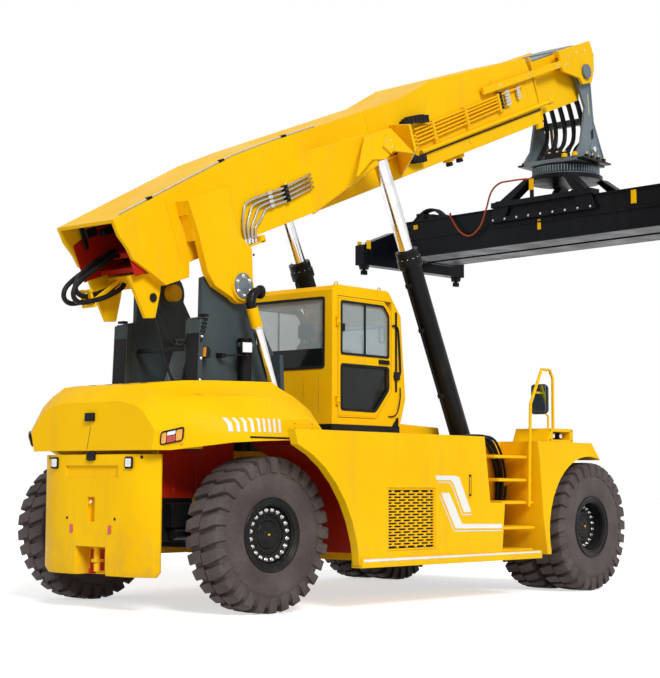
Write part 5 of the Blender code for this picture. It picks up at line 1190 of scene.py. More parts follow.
def make_seat():
    x, floor = 2.55, CAB_FLOOR
    base = Shape()
    base.slab(at(x, 0, floor + 0.012), (0.34, 0.34, 0.024))
    for k in range(6):
        z = floor + 0.03 + 0.048 * k
        size = 0.32 if k % 2 else 0.27
        base.slab(at(x, 0, z + 0.02), (size, size, 0.046))
    base.slab(at(x, 0, floor + 0.36), (0.36, 0.34, 0.10))
    for side in BOTH:
        base.slab(at(x - 0.02, side * 0.235, floor + 0.60), (0.30, 0.035, 0.04))
        base.rod(at(x - 0.16, side * 0.235, floor + 0.46), at(x - 0.14, side * 0.235, floor + 0.60), 0.014, 8)
        lever = at(x + 0.10, side * 0.235, floor + 0.62)
        base.rod(lever, lever + UP * 0.06, 0.016, 10)
    for y in (-0.06, 0.06):
        base.rod(at(x - 0.215, y, floor + 1.0), at(x - 0.23, y, floor + 1.12), 0.008, 8)
    made = piece("seat_base", base, PLASTIC, 0.006)
    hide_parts("driver_seat")
    cushion("seat_cushion", at(x + 0.03, 0, floor + 0.467), (0.50, 0.50, 0.13))
    cushion("seat_back", at(x - 0.165, 0, floor + 0.77), (0.56, 0.46, 0.13), radians(-82))
    cushion("head_rest", at(x - 0.222, 0, floor + 1.17), (0.20, 0.26, 0.08), radians(-86))


def make_console():
    shape = Shape()
    floor = CAB_FLOOR
    outline = ((3.04, 0.0), (3.165, 0.0), (3.165, 0.72), (3.13, 0.79), (3.06, 0.74))
    shape.prism([at(x, -0.15, floor + z) for x, z in outline], LEFT * 0.30)
    low, top = at(3.06, 0, floor + 0.73), at(2.945, 0, floor + 0.86)
    lean = (top - low).normalized()
    shape.rod(low, top, 0.030, 14)
    shape.rod(top - lean * 0.02, top + lean * 0.012, 0.045, 16)
    wide, high = LEFT, lean.cross(LEFT)
    wheel, grip = 0.178, 0.012
    rings = [[top + out * wheel + way * grip for way in circle(out, lean, 8)]
             for out in circle(wide, high, 40)]
    shape.loft(rings, run_closed=True)
    for turn in (0.5, 2.6, 4.7):
        out = wide * cos(turn) + high * sin(turn)
        shape.rod(top, top + out * 0.176, 0.010, 8)
    made = piece("steering_column", shape, PLASTIC, 0.003)
    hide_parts("steering_console")


# Towers, exhaust and lift cylinders


def work_lamp(bodies, lenses, place, facing, size=0.10):
    side = UP.cross(facing).normalized()
    high = facing.cross(side)
    axes = (side, high, facing)
    bodies.slab(place, (size * 1.15, size * 1.15, 0.06), axes)
    bodies.slab(place - facing * 0.04, (size * 0.7, size * 0.7, 0.05), axes)
    for share in (-0.3, 0.0, 0.3):
        bodies.slab(place - facing * 0.055 + side * share * size, (0.006, size * 0.8, 0.05), axes)
    lenses.slab(place + facing * 0.032, (size, size, 0.008), axes)
    bodies.rod(place - high * size * 0.5, place - high * size * 0.95, 0.010, 8)


def make_tower_details():
    bodies, amber, clear, bolts, edging = shapes(5)
    for side in BOTH:
        out = outward(side)
        work_lamp(bodies, amber, at(-0.12, side * 0.66, 2.79), Vector((-1, side * 0.15, 0.1)).normalized(),
                  0.105)
        bodies.slab(at(-0.16, side * 0.60, 2.73), (0.16, 0.05, 0.02))
        work_lamp(bodies, clear, at(0.41, side * 0.80, 2.87), Vector((-0.45, side * 0.9, 0.05)).normalized(),
                  0.11)
        bodies.rod(at(0.41, side * 0.79, 2.79), at(0.22, side * 0.64, 2.78), 0.012, 8)
        bodies.slab(at(0.20, side * 0.60, 2.78), (0.06, 0.12, 0.05))
        bolts.bolts([at(-0.245 + 0.012 * k, side * 0.704, 2.0 + 0.24 * k) for k in range(5)], out, 0.014)
        ring = circle(AHEAD, UP, 8, radians(20))
        bolts.bolts([PIVOT + out * 0.571 + way * 0.155 for way in ring], out, 0.012)
        edging.sweep([at(-0.21, side * 0.702, 2.90), at(-0.16, side * 0.702, 3.10)], 0.014, 8)
        for k in range(5):
            edging.slab(at(-0.18 + 0.012 * k, side * 0.66, 3.02 + 0.045 * k), (0.07, 0.10, 0.03))
        # dark cover plates on the backs of the flanges
        cover = ((-0.283, 0.49, 1.74), (-0.283, 0.69, 1.74), (-0.225, 0.69, 3.0), (-0.225, 0.49, 3.0))
        edging.prism([at(x, side * y, z) for x, y, z in cover], AHEAD * -0.006)
    edging.slab(at(-0.06, 0.0, 2.86), (0.05, 0.93, 0.05))
    piece("tower_lamp_bodies", bodies, PLASTIC, 0.003)
    piece("tower_lamps_amber", amber, AMBER, 0.002)
    piece("tower_lamps_clear", clear, CRYSTAL, 0.002)
    piece("tower_bolts", bolts, ZINC, 0.001)
    piece("tower_edging", edging, BLACK, 0.003)


def make_guard_plate():
    # it leans between the towers
    guard = Shape()
    outline = ((0.06, 1.80), (0.12, 1.80), (0.58, 3.02), (0.52, 3.02))
    guard.prism([at(x + 0.04, -0.47, z) for x, z in outline], LEFT * 0.94)
    guard.slab(at(0.57, 0, 3.03), (0.10, 0.94, 0.03))
    for y in (-0.45, 0.45):
        guard.prism([at(x, y, z) for x, z in outline], LEFT * (0.02 if y < 0 else -0.02))
    piece("tower_guard_plate", guard, GREY, 0.004)


def make_exhaust_details():
    x, y, top = 0.55, -0.645, 2.97
    clamps, cap = shapes(2)
    for z in (1.85, 2.42, top - 0.05):
        clamps.tube(-0.02, 0.02, 0.074, 0.084, at(x, y, z), UP, 28)
        clamps.slab(at(x + 0.09, y, z), (0.05, 0.03, 0.036))
    cap.lathe([(0, 0.001), (0, 0.088), (0.014, 0.088), (0.026, 0.060), (0.030, 0.001)], at(x, y, top + 0.002),
              UP, 28)
    piece("silencer_cap", cap, BLACK, 0.001)
    # the outlet pipe leans back past the tower and ends in a black elbow
    y = -0.80
    run = [at(x, y, z) for x, z in ((1.055, 1.905), (0.93, 2.24), (0.809, 2.546), (0.668, 2.90),
                                    (0.560, 3.17))]
    pipe, sleeve, elbow = shapes(3)
    pipe.sweep(curve_through(run, 4), 0.060, 28)
    pipe.tube(-0.004, 0.012, 0.060, 0.085, at(1.05, y, 1.91), UP, 28)
    lean = (run[-1] - run[-2]).normalized()
    sleeve.tube(-0.06, 0.17, 0.058, 0.067, run[-1], lean, 32)
    clamps.tube(-0.075, -0.055, 0.060, 0.072, run[-1], lean, 32)
    bend = [run[-1] + lean * 0.15, run[-1] + lean * 0.22, at(0.485, y, 3.415), at(0.505, y - 0.002, 3.475),
            at(0.560, y - 0.01, 3.510), at(0.620, y - 0.02, 3.515)]
    points = curve_through(bend)
    elbow.sweep(points, 0.056, 24)
    ahead = (points[-1] - points[-2]).normalized()
    elbow.lathe([(-0.03, 0.056), (-0.03, 0.076), (0.0, 0.080), (0.012, 0.074), (0.012, 0.001),
                 (-0.02, 0.001)],
                points[-1], ahead, 28)
    piece("outlet_pipe", pipe, CHROME)
    piece("outlet_sleeve", sleeve, YELLOW, 0.001)
    piece("outlet_elbow", elbow, BLACK)
    piece("exhaust_clamps", clamps, ZINC, 0.001)


def lift_line(side):
    # foot and eye of a lift cylinder, and the way it leans
    foot = at(LIFT_FOOT[0], side * LIFT_FOOT[1], LIFT_FOOT[2])
    eye = boom(LIFT_EYE[0], side * LIFT_EYE[1], LIFT_EYE[2])
    return foot, eye, (eye - foot).normalized()


def make_lift_details():
    for side, word in SIDES:
        foot, top, lean = lift_line(side)
        back = lean.cross(LEFT).normalized()
        back = back if back.x < 0 else -back
        shape, bolts, wiper = shapes(3)
        shape.lathe([(3.20, 0.129), (3.20, 0.150), (3.215, 0.154), (3.31, 0.154), (3.325, 0.148),
                     (3.325, 0.129)], foot, lean, 40)
        shape.lathe([(0.06, 0.11), (0.06, 0.137), (0.17, 0.137), (0.19, 0.128), (0.19, 0.11)], foot, lean, 40)
        line = [foot + lean * p + back * q for p, q in
                ((0.34, 0.125), (0.36, 0.165), (0.45, 0.178), (1.2, 0.178), (2.2, 0.178), (3.1, 0.178),
                 (3.18, 0.170), (3.25, 0.14))]
        shape.sweep(curve_through(line, 4), 0.016, 10)
        for place in (0.60, 1.5, 2.4, 3.0):
            shape.slab(foot + lean * place + back * 0.155, (0.05, 0.07, 0.05), (lean, LEFT, back))
        shape.slab(foot + lean * 0.36 + back * 0.160, (0.12, 0.10, 0.056), (lean, LEFT, back))
        piece("lift_gland_" + word, shape, BLACK, 0.002, "lift_barrel_" + word)
        bolts.bolts([foot + lean * 3.325 + way * 0.140 for way in circle(back, LEFT, 12)], lean, 0.009)
        piece("lift_gland_bolts_" + word, bolts, ZINC, 0.001, "lift_barrel_" + word)
        wiper.lathe([(3.42, 0.094), (3.42, 0.104), (3.432, 0.100), (3.432, 0.094)], foot, lean, 36)
        piece("rod_wiper_" + word, wiper, HOSE, body="lift_barrel_" + word)
        eye = Shape()
        for end in BOTH:
            eye.lathe([(0, 0.058), (0, 0.105), (0.010, 0.100), (0.010, 0.058)],
                      top + LEFT * end * 0.101, outward(end), 32)
        eye.lathe([(-0.17, 0.091), (-0.17, 0.105), (-0.13, 0.112), (-0.10, 0.112), (-0.09, 0.091)], top, lean,
                  32)
        piece("rod_eye_" + word, eye, YELLOW, 0.002, "lift_rod_" + word)


# Boom


def boom_block(shape, alongs, ys, outs):
    # an upright box in the boom's own frame
    middle = boom(sum(alongs) / 2, sum(ys) / 2, sum(outs) / 2)
    size = (abs(alongs[1] - alongs[0]), abs(ys[1] - ys[0]), abs(outs[1] - outs[0]))
    shape.slab(middle, size, BOOM_AXES)


def make_pivot_caps():
    caps, bolts = shapes(2)
    for side in BOTH:
        out = outward(side)
        caps.lathe([(0.695, 0.001), (0.695, 0.150), (0.708, 0.146), (0.712, 0.045), (0.718, 0.040),
                    (0.718, 0.001)], PIVOT, out, 40)
        ring = circle(ALONG, SQUARE, 6, radians(15))
        bolts.bolts([PIVOT + out * 0.708 + way * 0.112 for way in ring], out, 0.019)
    piece("pivot_caps", caps, GREY, 0.002, "boom_outer")
    piece("pivot_cap_bolts", bolts, ZINC, 0.0015, "boom_outer")


def make_lift_pin_caps():
    pins, heads = shapes(2)
    along, _, high = LIFT_EYE
    for side in BOTH:
        out = outward(side)
        place = boom(along, side * 1.0975, high)
        pins.lathe([(-0.02, 0.001), (-0.02, 0.090), (0.006, 0.090), (0.010, 0.080), (0.010, 0.001)], place,
                   out, 32)
        ring = circle(ALONG, SQUARE, 4, radians(45))
        heads.bolts([place + out * 0.008 + way * 0.060 for way in ring], out, 0.011)
        pins.tube(-0.18, 0.0, 0.055, 0.075, boom(along, side * 1.06, high), out, 28)
    piece("lift_pin_caps", pins, YELLOW, 0.002, "boom_outer")
    piece("lift_pin_bolts", heads, ZINC, 0.001, "boom_outer")


def make_boom_pipes():
    # four pipes rise from the bracket by the pivot, bend forward and run to the front
    steel, clamps, fittings, seams, painted = shapes(5)
    y = -0.50
    for k in range(4):
        low = (0.42 + 0.055 * k, 0.40 - 0.012 * k)
        knee = (0.44 + 0.075 * k, 0.60 - 0.015 * k)
        bend = (0.56 + 0.09 * k, 0.80 - 0.045 * k)
        level = 0.862 - 0.052 * k
        run = (low, ((low[0] + knee[0]) / 2, 0.50), knee, (bend[0] - 0.05, bend[1] - 0.05),
               (bend[0] + 0.06, level - 0.012), (1.02, level), (1.32, level), (2.05, level + 0.06))
        steel.sweep(curve_through([boom(along, y, out) for along, out in run], 5), 0.0155, 10)
        painted.sweep([boom(2.05, y, level + 0.06), boom(2.9, y + 0.01, level + 0.03),
                       boom(4.06, y, level + 0.04)], 0.014, 10)
        fittings.rod(boom(0.98, y, level), boom(1.05, y, level), 0.023, 6)
        fittings.rod(boom(low[0], y, low[1]), boom(low[0] + 0.008, y, low[1] + 0.05), 0.024, 6)
    for along in (1.31, 2.05, 2.9, 3.6):
        lift = 0.0 if along < 1.5 else 0.05
        for k in range(4):
            boom_block(clamps, (along - 0.028, along + 0.028), (y - 0.026, -BOOM_HALF),
                       (0.84 - 0.052 * k + lift, 0.885 - 0.052 * k + lift))
        fittings.bolt(boom(along, y - 0.026, 0.9 + lift), -LEFT, 0.008)
    boom_block(painted, (0.36, 0.68), (-0.56, -0.44), (0.355, 0.372))
    boom_block(painted, (0.62, 0.70), (-0.56, -0.44), (0.35, 0.43))
    # fittings and short hoses at the front end
    for k in range(5):
        level = 0.85 + 0.05 * k
        boom_block(clamps, (6.145, 6.205), (y - 0.03, -BOOM_HALF), (level - 0.022, level + 0.022))
        fittings.rod(boom(6.30, y, 0.86 + 0.045 * k), boom(6.42, y, 0.865 + 0.045 * k), 0.020, 6)
        fittings.rod(boom(6.62, y, 0.90 + 0.035 * k), boom(6.70, y, 0.90 + 0.035 * k), 0.018, 6)
    # the lower rail with its round end, and a dark strip beneath it, a painted shadow of the rail
    painted.rod(boom(4.10, y, 0.668), boom(7.44, y, 0.690), 0.030, 16)
    painted.rod(boom(7.40, y, 0.690), boom(7.47, y, 0.690), 0.042, 16)
    boom_block(clamps, (3.85, 7.20), (-0.478, -BOOM_HALF), (0.612, 0.630))
    for along in (4.6, 5.6, 6.6):
        boom_block(painted, (along, along + 0.05), (-0.49, -BOOM_HALF), (0.645, 0.71))
    mark_boom_sides(seams, clamps)
    piece("boom_steel_pipes", steel, STEEL, body="boom_outer")
    piece("boom_side_pipes", painted, YELLOW, 0.002, "boom_outer")
    piece("boom_pipe_clamps_and_rail_shadow", clamps, PLASTIC, 0.003, "boom_outer")
    piece("boom_fittings", fittings, ZINC, 0.001, "boom_outer")
    piece("boom_seams", seams, YELLOW, body="boom_outer")


def mark_boom_sides(seams, plugs):
    # weld seams, round covers and dark plugs
    for side in BOTH:
        for along, low, high in ((-0.62, 0.48, 1.20), (3.15, 0.46, 1.36), (6.95, 0.46, 1.30)):
            boom_block(seams, (along, along + 0.006), (side * BOOM_HALF, side * (BOOM_HALF + 0.002)),
                       (low, high))
        for along, out in ((6.11, 1.27), (2.20, 0.62), (5.30, 0.56)):
            place = boom(along, side * BOOM_HALF, out)
            seams.rod(place, place + outward(side) * 0.004, 0.035, 24, 0.030)
        for along, y, out in ((1.82, BOOM_HALF, 0.60), (0.32, BOOM_HALF + 0.206, 0.28)):
            plugs.rod(boom(along, side * y, out), boom(along, side * (y + 0.006), out), 0.016, 12)


def make_chain_links():
    chain = ((4.35, 1.06), (4.24, 1.092), (4.12, 1.11), (3.97, 1.12), (3.88, 1.10), (3.82, 1.07),
             (3.765, 1.015), (3.735, 0.95), (3.733, 0.885), (3.74, 0.82), (3.76, 0.755),
             (3.79, 0.70), (3.84, 0.65), (3.90, 0.61), (4.00, 0.592), (4.11, 0.58))
    run = curve_through([boom(a, -0.5103, n) for a, n in chain], 3)
    links = Shape()
    for k in range(1, len(run) - 1, 2):
        ahead = (run[k + 1] - run[k - 1]).normalized()
        links.slab(run[k], (0.034, 0.110, 0.098), (ahead, LEFT, ahead.cross(LEFT)))
        links.rod(run[k] - LEFT * 0.056, run[k] - LEFT * 0.062, 0.014, 10)
    piece("chain_links", links, PLASTIC, 0.004, "boom_outer")


def make_top_pipe():
    # a thin pale pipe along the boom's top edge
    rail, blocks = shapes(2)

    def top(along):
        return surface("boom_outer", boom(along, -0.41, 3), -SQUARE)[0]

    rail.sweep([top(-1.30 + 0.25 * k) + SQUARE * 0.014 for k in range(15)], 0.010, 10)
    for along in (-0.80, 0.45, 1.6):
        place = top(along)
        blocks.slab(place + SQUARE * 0.012, (0.07, 0.05, 0.036), BOOM_AXES)
    piece("boom_top_pipe", rail, ZINC, body="boom_outer")
    piece("boom_top_clamps", blocks, PLASTIC, 0.004, "boom_outer")


def make_tail_lining():
    lining = Shape()
    for side in BOTH:
        wall = side * (BOOM_HALF - 0.041)
        points = [(-1.30, 0.50), (-0.40, 0.50), (-0.40, 1.20), (-0.90, 1.05), (-1.32, 0.93)]
        lining.prism([boom(a, wall, n) for a, n in points], outward(side) * -0.010)
    lining.prism([boom(a, -0.40, n) for a, n in ((-1.05, 0.50), (-0.55, 0.50), (-0.55, 0.56), (-1.05, 0.56))],
                 LEFT * 0.8)
    boom_block(lining, (-0.98, -0.80), (-0.40, 0.40), (0.66, 0.72))
    piece("tail_lining", lining, RED, 0.004, "boom_outer")


def make_tail_cylinder():
    iron = Shape()
    iron.rod(boom(-0.75, 0.0, 0.80), boom(0.40, 0.0, 0.86), 0.11, 24)
    iron.rod(boom(-0.82, 0.0, 0.797), boom(-0.70, 0.0, 0.80), 0.13, 24)
    for y in (-0.26, 0.26):
        iron.rod(boom(-1.0, y, 0.98), boom(0.3, y, 1.06), 0.045, 16)
    iron.slab(boom(-1.18, 0.36, 0.98), (0.05, 0.03, 0.26), BOOM_AXES)
    iron.slab(boom(-1.12, 0.30, 1.02), (0.16, 0.05, 0.10), BOOM_AXES)
    piece("tail_cylinder", iron, BLACK, 0.005, "boom_outer")


def make_tail_hoses():
    # a bracket holds the hose ends behind the tail
    clip = Shape()
    for y in (0.14, 0.27):
        clip.slab(boom(-1.50, y, 0.36), (0.035, 0.05, 0.20), BOOM_AXES)
        arm = ((-1.50, 0.34), (-1.50, 0.29), (-1.04, 0.40), (-1.04, 0.45))
        clip.prism([boom(along, y - 0.012, out) for along, out in arm], LEFT * 0.024)
    clip.slab(boom(-1.50, 0.205, 0.275), (0.05, 0.20, 0.03), BOOM_AXES)
    clip.slab(boom(-1.50, 0.205, 0.44), (0.05, 0.20, 0.03), BOOM_AXES)
    piece("tail_bracket", clip, YELLOW, 0.004, "boom_outer")
    runs = (((-0.74, 0.66), (-0.98, 0.70), (-1.26, 0.665), (-1.52, 0.61), (-1.70, 0.545), (-1.76, 0.45),
             (-1.69, 0.365), (-1.50, 0.33), (-1.28, 0.32), (-1.05, 0.35), (-0.92, 0.43)),
            ((-0.74, 0.72), (-1.02, 0.745), (-1.28, 0.71), (-1.50, 0.64), (-1.62, 0.56), (-1.63, 0.47),
             (-1.55, 0.40), (-1.38, 0.375), (-1.18, 0.37), (-1.02, 0.40), (-0.94, 0.44)))
    for k, (run, y) in enumerate(((runs[0], 0.27), (runs[1], 0.19), (runs[0], 0.11))):
        hose("tail_hose_%d" % k, [boom(a, y, n) for a, n in run], 0.028, ("boom_outer", "boom_outer"),
             "boom_outer")


def make_hanging_hoses():
    # thin hoses from the tail's fins to the right tower
    for k, (x, z) in enumerate(((-0.17, 3.02), (-0.19, 2.70))):
        start = boom(-1.00, -0.28, 0.16)
        end = at(x, -0.52, z)
        drop = 0.30 + 0.22 * k
        run = [start, start + Vector((0.01, -0.02, -0.12)), start * 0.7 + end * 0.3 - UP * drop * 0.72,
               (start + end) / 2 - UP * drop, start * 0.25 + end * 0.75 - UP * drop * 0.78,
               end + Vector((-0.05, 0.03, -0.06)), end]
        hose("hanging_hose_%d" % k, run, 0.013, ("boom_outer", "boom_tower_right"), "boom_outer",
             other="chassis")


def make_fin_plugs():
    plugs = Shape()
    for side in BOTH:
        place = boom(-1.06, side * 0.345, 0.20)
        plugs.lathe([(0, 0.001), (0, 0.050), (0.012, 0.050), (0.014, 0.001)], place, outward(side), 24)
    piece("tail_fin_plugs", plugs, BLACK, 0.002, "boom_outer")


def make_boom_mouth():
    lips = Shape()
    for side in BOTH:
        boom_block(lips, (7.06, 7.20), (side * 0.41, side * 0.46), (0.36, 0.44))
        boom_block(lips, (7.185, 7.215), (side * 0.41, side * 0.475), (0.46, 1.36))
    boom_block(lips, (7.185, 7.215), (-0.46, 0.46), (1.365, 1.40))
    piece("boom_mouth_rim", lips, YELLOW, 0.004, "boom_outer")


def make_boom_lamps():
    bodies, lenses = shapes(2)
    for along in (4.87, 5.12):
        for y in (-0.34, 0.34):
            place = boom(along, y, 0.375)
            bodies.lathe([(0, 0.001), (0, 0.045), (0.03, 0.050), (0.05, 0.050), (0.05, 0.001)], place,
                         -SQUARE, 24)
            lenses.lathe([(0.046, 0.001), (0.046, 0.040), (0.056, 0.030), (0.058, 0.001)], place, -SQUARE, 24)
    piece("boom_lamp_bodies", bodies, PLASTIC, 0.002, "boom_outer")
    piece("boom_lamps", lenses, CRYSTAL, body="boom_outer")


# Head, hanger and spreader


def make_head_details():
    # grey cover plates on the head and along the inner boom's top
    covers, bolts, reel = shapes(3)
    boom_block(covers, (7.30, 8.20), (-0.34, 0.34), (1.312, 1.330))
    boom_block(covers, (8.18, 8.72), (-0.30, 0.30), (1.318, 1.345))
    piece("head_covers", covers, GREY, 0.004, "boom_inner")
    for side in BOTH:
        out = outward(side)
        reel.lathe([(0.541, 0.001), (0.541, 0.088), (0.556, 0.084), (0.560, 0.001)], HEAD_PIN, out, 28)
        for a, n in ((-0.40, 0.30), (-0.15, 0.32), (0.12, 0.30), (-0.50, 0.20)):
            bolts.bolt(HEAD_PIN + ALONG * a + SQUARE * n + out * 0.54, out, 0.014)
        for along in (6.2, 7.0, 7.8):
            bolts.bolt(boom(along, side * 0.539, 1.16), out, 0.012)
    piece("head_bolts", bolts, ZINC, 0.001, "boom_inner")
    piece("hanger_pin_ends", reel, GREY, 0.002, "hanger")


def make_head_hoses():
    # a dark hose bundle that hangs from the boom's end
    for k in range(9):
        y = -0.32 + 0.08 * k
        step = 0.12 * (k % 2)
        run = [boom(8.10, y, 0.60), boom(8.24 + step / 2, y, 0.60), head(0.06 + step, y, -0.36),
               head(0.20 + step, y, -0.56), head(0.27 + step, y, -0.78), head(0.24 + step, y, -0.97),
               head(0.13 + step / 2, y, -1.12), head(0.07 + step / 2, y, -1.22),
               head(0.06 + step / 2, y, -1.30)]
        hose("head_hose_%d" % k, run, 0.032, ("boom_inner", "hanger"), "boom_inner", other="hanger")
    manifold = Shape()
    manifold.rod(boom(8.06, -0.32, 0.60), boom(8.06, 0.32, 0.60), 0.05, 20)
    boom_block(manifold, (7.98, 8.10), (-0.33, 0.33), (0.545, 0.66))
    piece("head_manifold", manifold, BLACK, 0.004, "boom_inner")


def make_hanger_details():
    marks, bolts, brass, dark_parts_and_hole_shade, decks, caps = shapes(6)
    for side in BOTH:
        out = outward(side)
        face = side * 0.46
        # stiffening edges along the plate's front
        front = ((0.168, -0.02), (0.252, -0.13), (0.312, -0.60), (0.322, -0.69), (0.50, -1.02), (0.64, -1.27))
        marks.sweep([head(x, face, z) for x, z in front], 0.016, 8)
        slot = [head(x, face, z) for x, z in ((0.18, -0.30), (0.20, -0.30), (0.235, -0.62), (0.215, -0.62))]
        brass.prism([p - out * 0.001 for p in slot], out * 0.003)
        # a dark plate over the hole in the plate, painted shade for its inside
        hole = [head(x, face, z) for x, z in ((0.26, -0.86), (0.34, -0.80), (0.35, -0.95), (0.28, -1.0))]
        dark_parts_and_hole_shade.prism([p - out * 0.001 for p in rounded(hole, 0.03)], out * 0.003)
        place = head(0.32, face, -1.13)
        marks.lathe([(0, 0.001), (0, 0.085), (0.018, 0.080), (0.022, 0.001)], place, out, 32)
        caps.lathe([(0.018, 0.001), (0.018, 0.045), (0.040, 0.040), (0.050, 0.022), (0.052, 0.001)], place,
                   out, 24)
        for k in range(5):
            bolts.bolt(head(-0.02 + 0.14 * k, face, -1.315), out, 0.013)
        # damping cylinder sleeves and rods
        low = head(0.528, side * 0.30, -1.30)
        high = head(0.389, side * 0.30, -0.619)
        lean = (high - low).normalized()
        dark_parts_and_hole_shade.lathe([(0.05, 0.054), (0.05, 0.066), (0.30, 0.066), (0.31, 0.054)], low, lean, 28)
        caps.tube(0.31, 0.62, 0.054, 0.060, low, lean, 28)
        # side deck on top of the ring, with its hose ends
        decks.slab(head(0.24, side * 0.53, -1.335), (0.76, 0.13, 0.03))
        for k in range(4):
            place = head(-0.02 + 0.16 * k, side * 0.56, -1.30)
            decks.slab(place, (0.06, 0.05, 0.06))
            brass.rod(place + UP * 0.03, place + UP * 0.065, 0.016, 6)
    decks.slab(head(0.05, 0.0, -1.24), (0.20, 0.34, 0.12))
    decks.slab(head(0.42, 0.0, -1.25), (0.16, 0.40, 0.10))
    for y in (-0.14, 0.0, 0.14):
        brass.rod(head(0.05, y, -1.18), head(0.05, y, -1.14), 0.022, 6)
    piece("hanger_edges", marks, GREY, 0.002, "hanger")
    piece("hanger_bolts", bolts, ZINC, 0.001, "hanger")
    piece("hanger_brass", brass, BRASS, 0.001, "hanger")
    piece("hanger_dark_parts_and_hole_shade", dark_parts_and_hole_shade, BLACK, 0.001, "hanger")
    piece("hanger_chrome", caps, CHROME, 0.001, "hanger")
    piece("hanger_deck", decks, BLACK, 0.004, "hanger")


SLEW = HEAD_PIN + Vector((0.28, 0, -1.46))
SLEW_TURN = Matrix.Rotation(STEER, 3, "Z")


def spread(x, y, z):
    # a place on the slewing frame, from the slewing axis
    return SLEW + SLEW_TURN @ Vector((x, y, z))


def spread_block(shape, low, high):
    low, high = Vector(low), Vector(high)
    axes = [SLEW_TURN @ v for v in (AHEAD, LEFT, UP)]
    middle = (low + high) / 2
    shape.slab(spread(*middle), high - low, axes)


def make_slew_ring():
    bolts, teeth = shapes(2)
    bolts.bolts([spread(*(out * 0.53)) - UP * 0.075 for out in circle(AHEAD, LEFT, 40)], UP, 0.012)
    for way in circle(AHEAD, LEFT, 72):
        out = SLEW_TURN @ way
        teeth.slab(SLEW + out * 0.503 + UP * 0.01, (0.02, 0.022, 0.10), (out, UP.cross(out), UP))
    teeth.tube(-0.078, -0.055, 0.498, 0.535, SLEW, UP, 64)
    piece("slew_ring_bolts", bolts, ZINC, 0.001, "slew_frame")
    piece("slew_ring_teeth", teeth, GREY, body="slew_frame")


def make_leg_details():
    bolts, edges = shapes(2)
    for sx in BOTH:
        for sy in BOTH:
            bolts.bolts([spread(sx * 0.56, sy * (0.56 + 0.075 * k), -0.418) for k in range(5)], UP, 0.014)
            # a plate from each leg's foot down over the side of the beam
            face = sx * 0.600
            outline = ((0.56, -0.40), (0.88, -0.40), (0.98, -0.66), (0.70, -0.66))
            edges.prism([spread(face, sy * y, z) for y, z in outline], SLEW_TURN @ AHEAD * sx * 0.024)
        ends = sorted((sx * 0.600, sx * 0.636))
        spread_block(edges, (ends[0], -1.0, -0.73), (ends[1], 1.0, -0.655))
        places = [spread(sx * 0.636, -0.92 + 0.23 * k, -0.69) for k in range(9)]
        bolts.bolts(places, SLEW_TURN @ AHEAD * sx, 0.013)
    piece("leg_bolts", bolts, ZINC, 0.001, "slew_frame")
    piece("leg_edges", edges, NAVY, 0.002, "slew_frame")


def make_slew_pointer():
    marks, post = shapes(2)
    spread_block(marks, (-0.590, 0.16, -0.30), (-0.582, 0.25, -0.13))
    piece("slew_pointer", marks, YELLOW, 0.002, "slew_frame")
    spread_block(post, (-0.582, 0.17, -0.46), (-0.566, 0.24, -0.13))
    spread_block(post, (-0.62, -0.35, -0.47), (-0.56, 0.35, -0.42))
    piece("slew_pointer_post", post, NAVY, 0.003, "slew_frame")


def make_hanger_caps():
    caps = Shape()
    for y in (-0.43, -0.25):
        caps.lathe([(0, 0.001), (0, 0.045), (0.05, 0.045), (0.062, 0.030), (0.064, 0.001)],
                   head(-0.15, y, -1.30), UP, 20)
    piece("hanger_yellow_caps", caps, YELLOW, 0.001, "hanger")


BEAM_X = 0.32
BEAM_TOP = -0.5008
BEAM_LOW = -1.1008
SHIFT = 0.30
LOCK_X = 1.1295
LOCK_Y = 2.9265


def make_spreader_flanges():
    flanges, marks = shapes(2)
    top, low = BEAM_TOP, BEAM_LOW
    for sx in BOTH:
        x = sx * BEAM_X
        outside = x + sx * 0.25
        for z, deep in ((top - 0.012, 0.024), (top - 0.30, 0.016), (low + 0.012, 0.024)):
            ends = sorted((outside, outside + sx * deep))
            spread_block(flanges, (ends[0], SHIFT - 2.54, z - 0.012), (ends[1], SHIFT + 2.54, z + 0.012))
        for end in BOTH:
            y = SHIFT + end * 2.53
            spread_block(flanges, (x - 0.265, y - 0.03, low - 0.012), (x + 0.265, y + 0.03, low + 0.03))
            spread_block(flanges, (x - 0.265, y - 0.03, top - 0.03), (x + 0.265, y + 0.03, top + 0.002))
    for y, half, low_z, high_z in ((0.068, 0.030, -0.92, -0.76), (-1.64, 0.045, -0.73, -0.53),
                                   (2.59, 0.045, -0.64, -0.57)):
        spread_block(marks, (-0.585, y - half, low_z), (-0.572, y + half, high_z))
        spread_block(marks, (0.572, -y - half, low_z), (0.585, -y + half, high_z))
    piece("spreader_flanges", flanges, NAVY, 0.003, "spreader_frame")
    piece("spreader_marks", marks, YELLOW, 0.002, "spreader_frame")


def make_spreader_valves():
    # valves and pipes on top of the beams
    valves = Shape()
    for sx in BOTH:
        x = sx * BEAM_X
        for y, size in ((2.62, 0.16), (2.42, 0.12), (2.22, 0.10)):
            spread_block(valves, (x - size * 0.8, y - size / 2, BEAM_TOP),
                         (x + size * 0.8, y + size / 2, BEAM_TOP + size * 0.9))
        for k in range(3):
            x = sx * (0.44 - 0.05 * k)
            run = ((2.12, 0.02), (2.20, 0.10), (2.32, 0.17), (2.48, 0.18), (2.62, 0.12), (2.76, 0.02))
            valves.sweep(curve_through([spread(x, y, BEAM_TOP + z) for y, z in run]), 0.022, 10)
    piece("spreader_valves", valves, PLASTIC, 0.003, "spreader_frame")


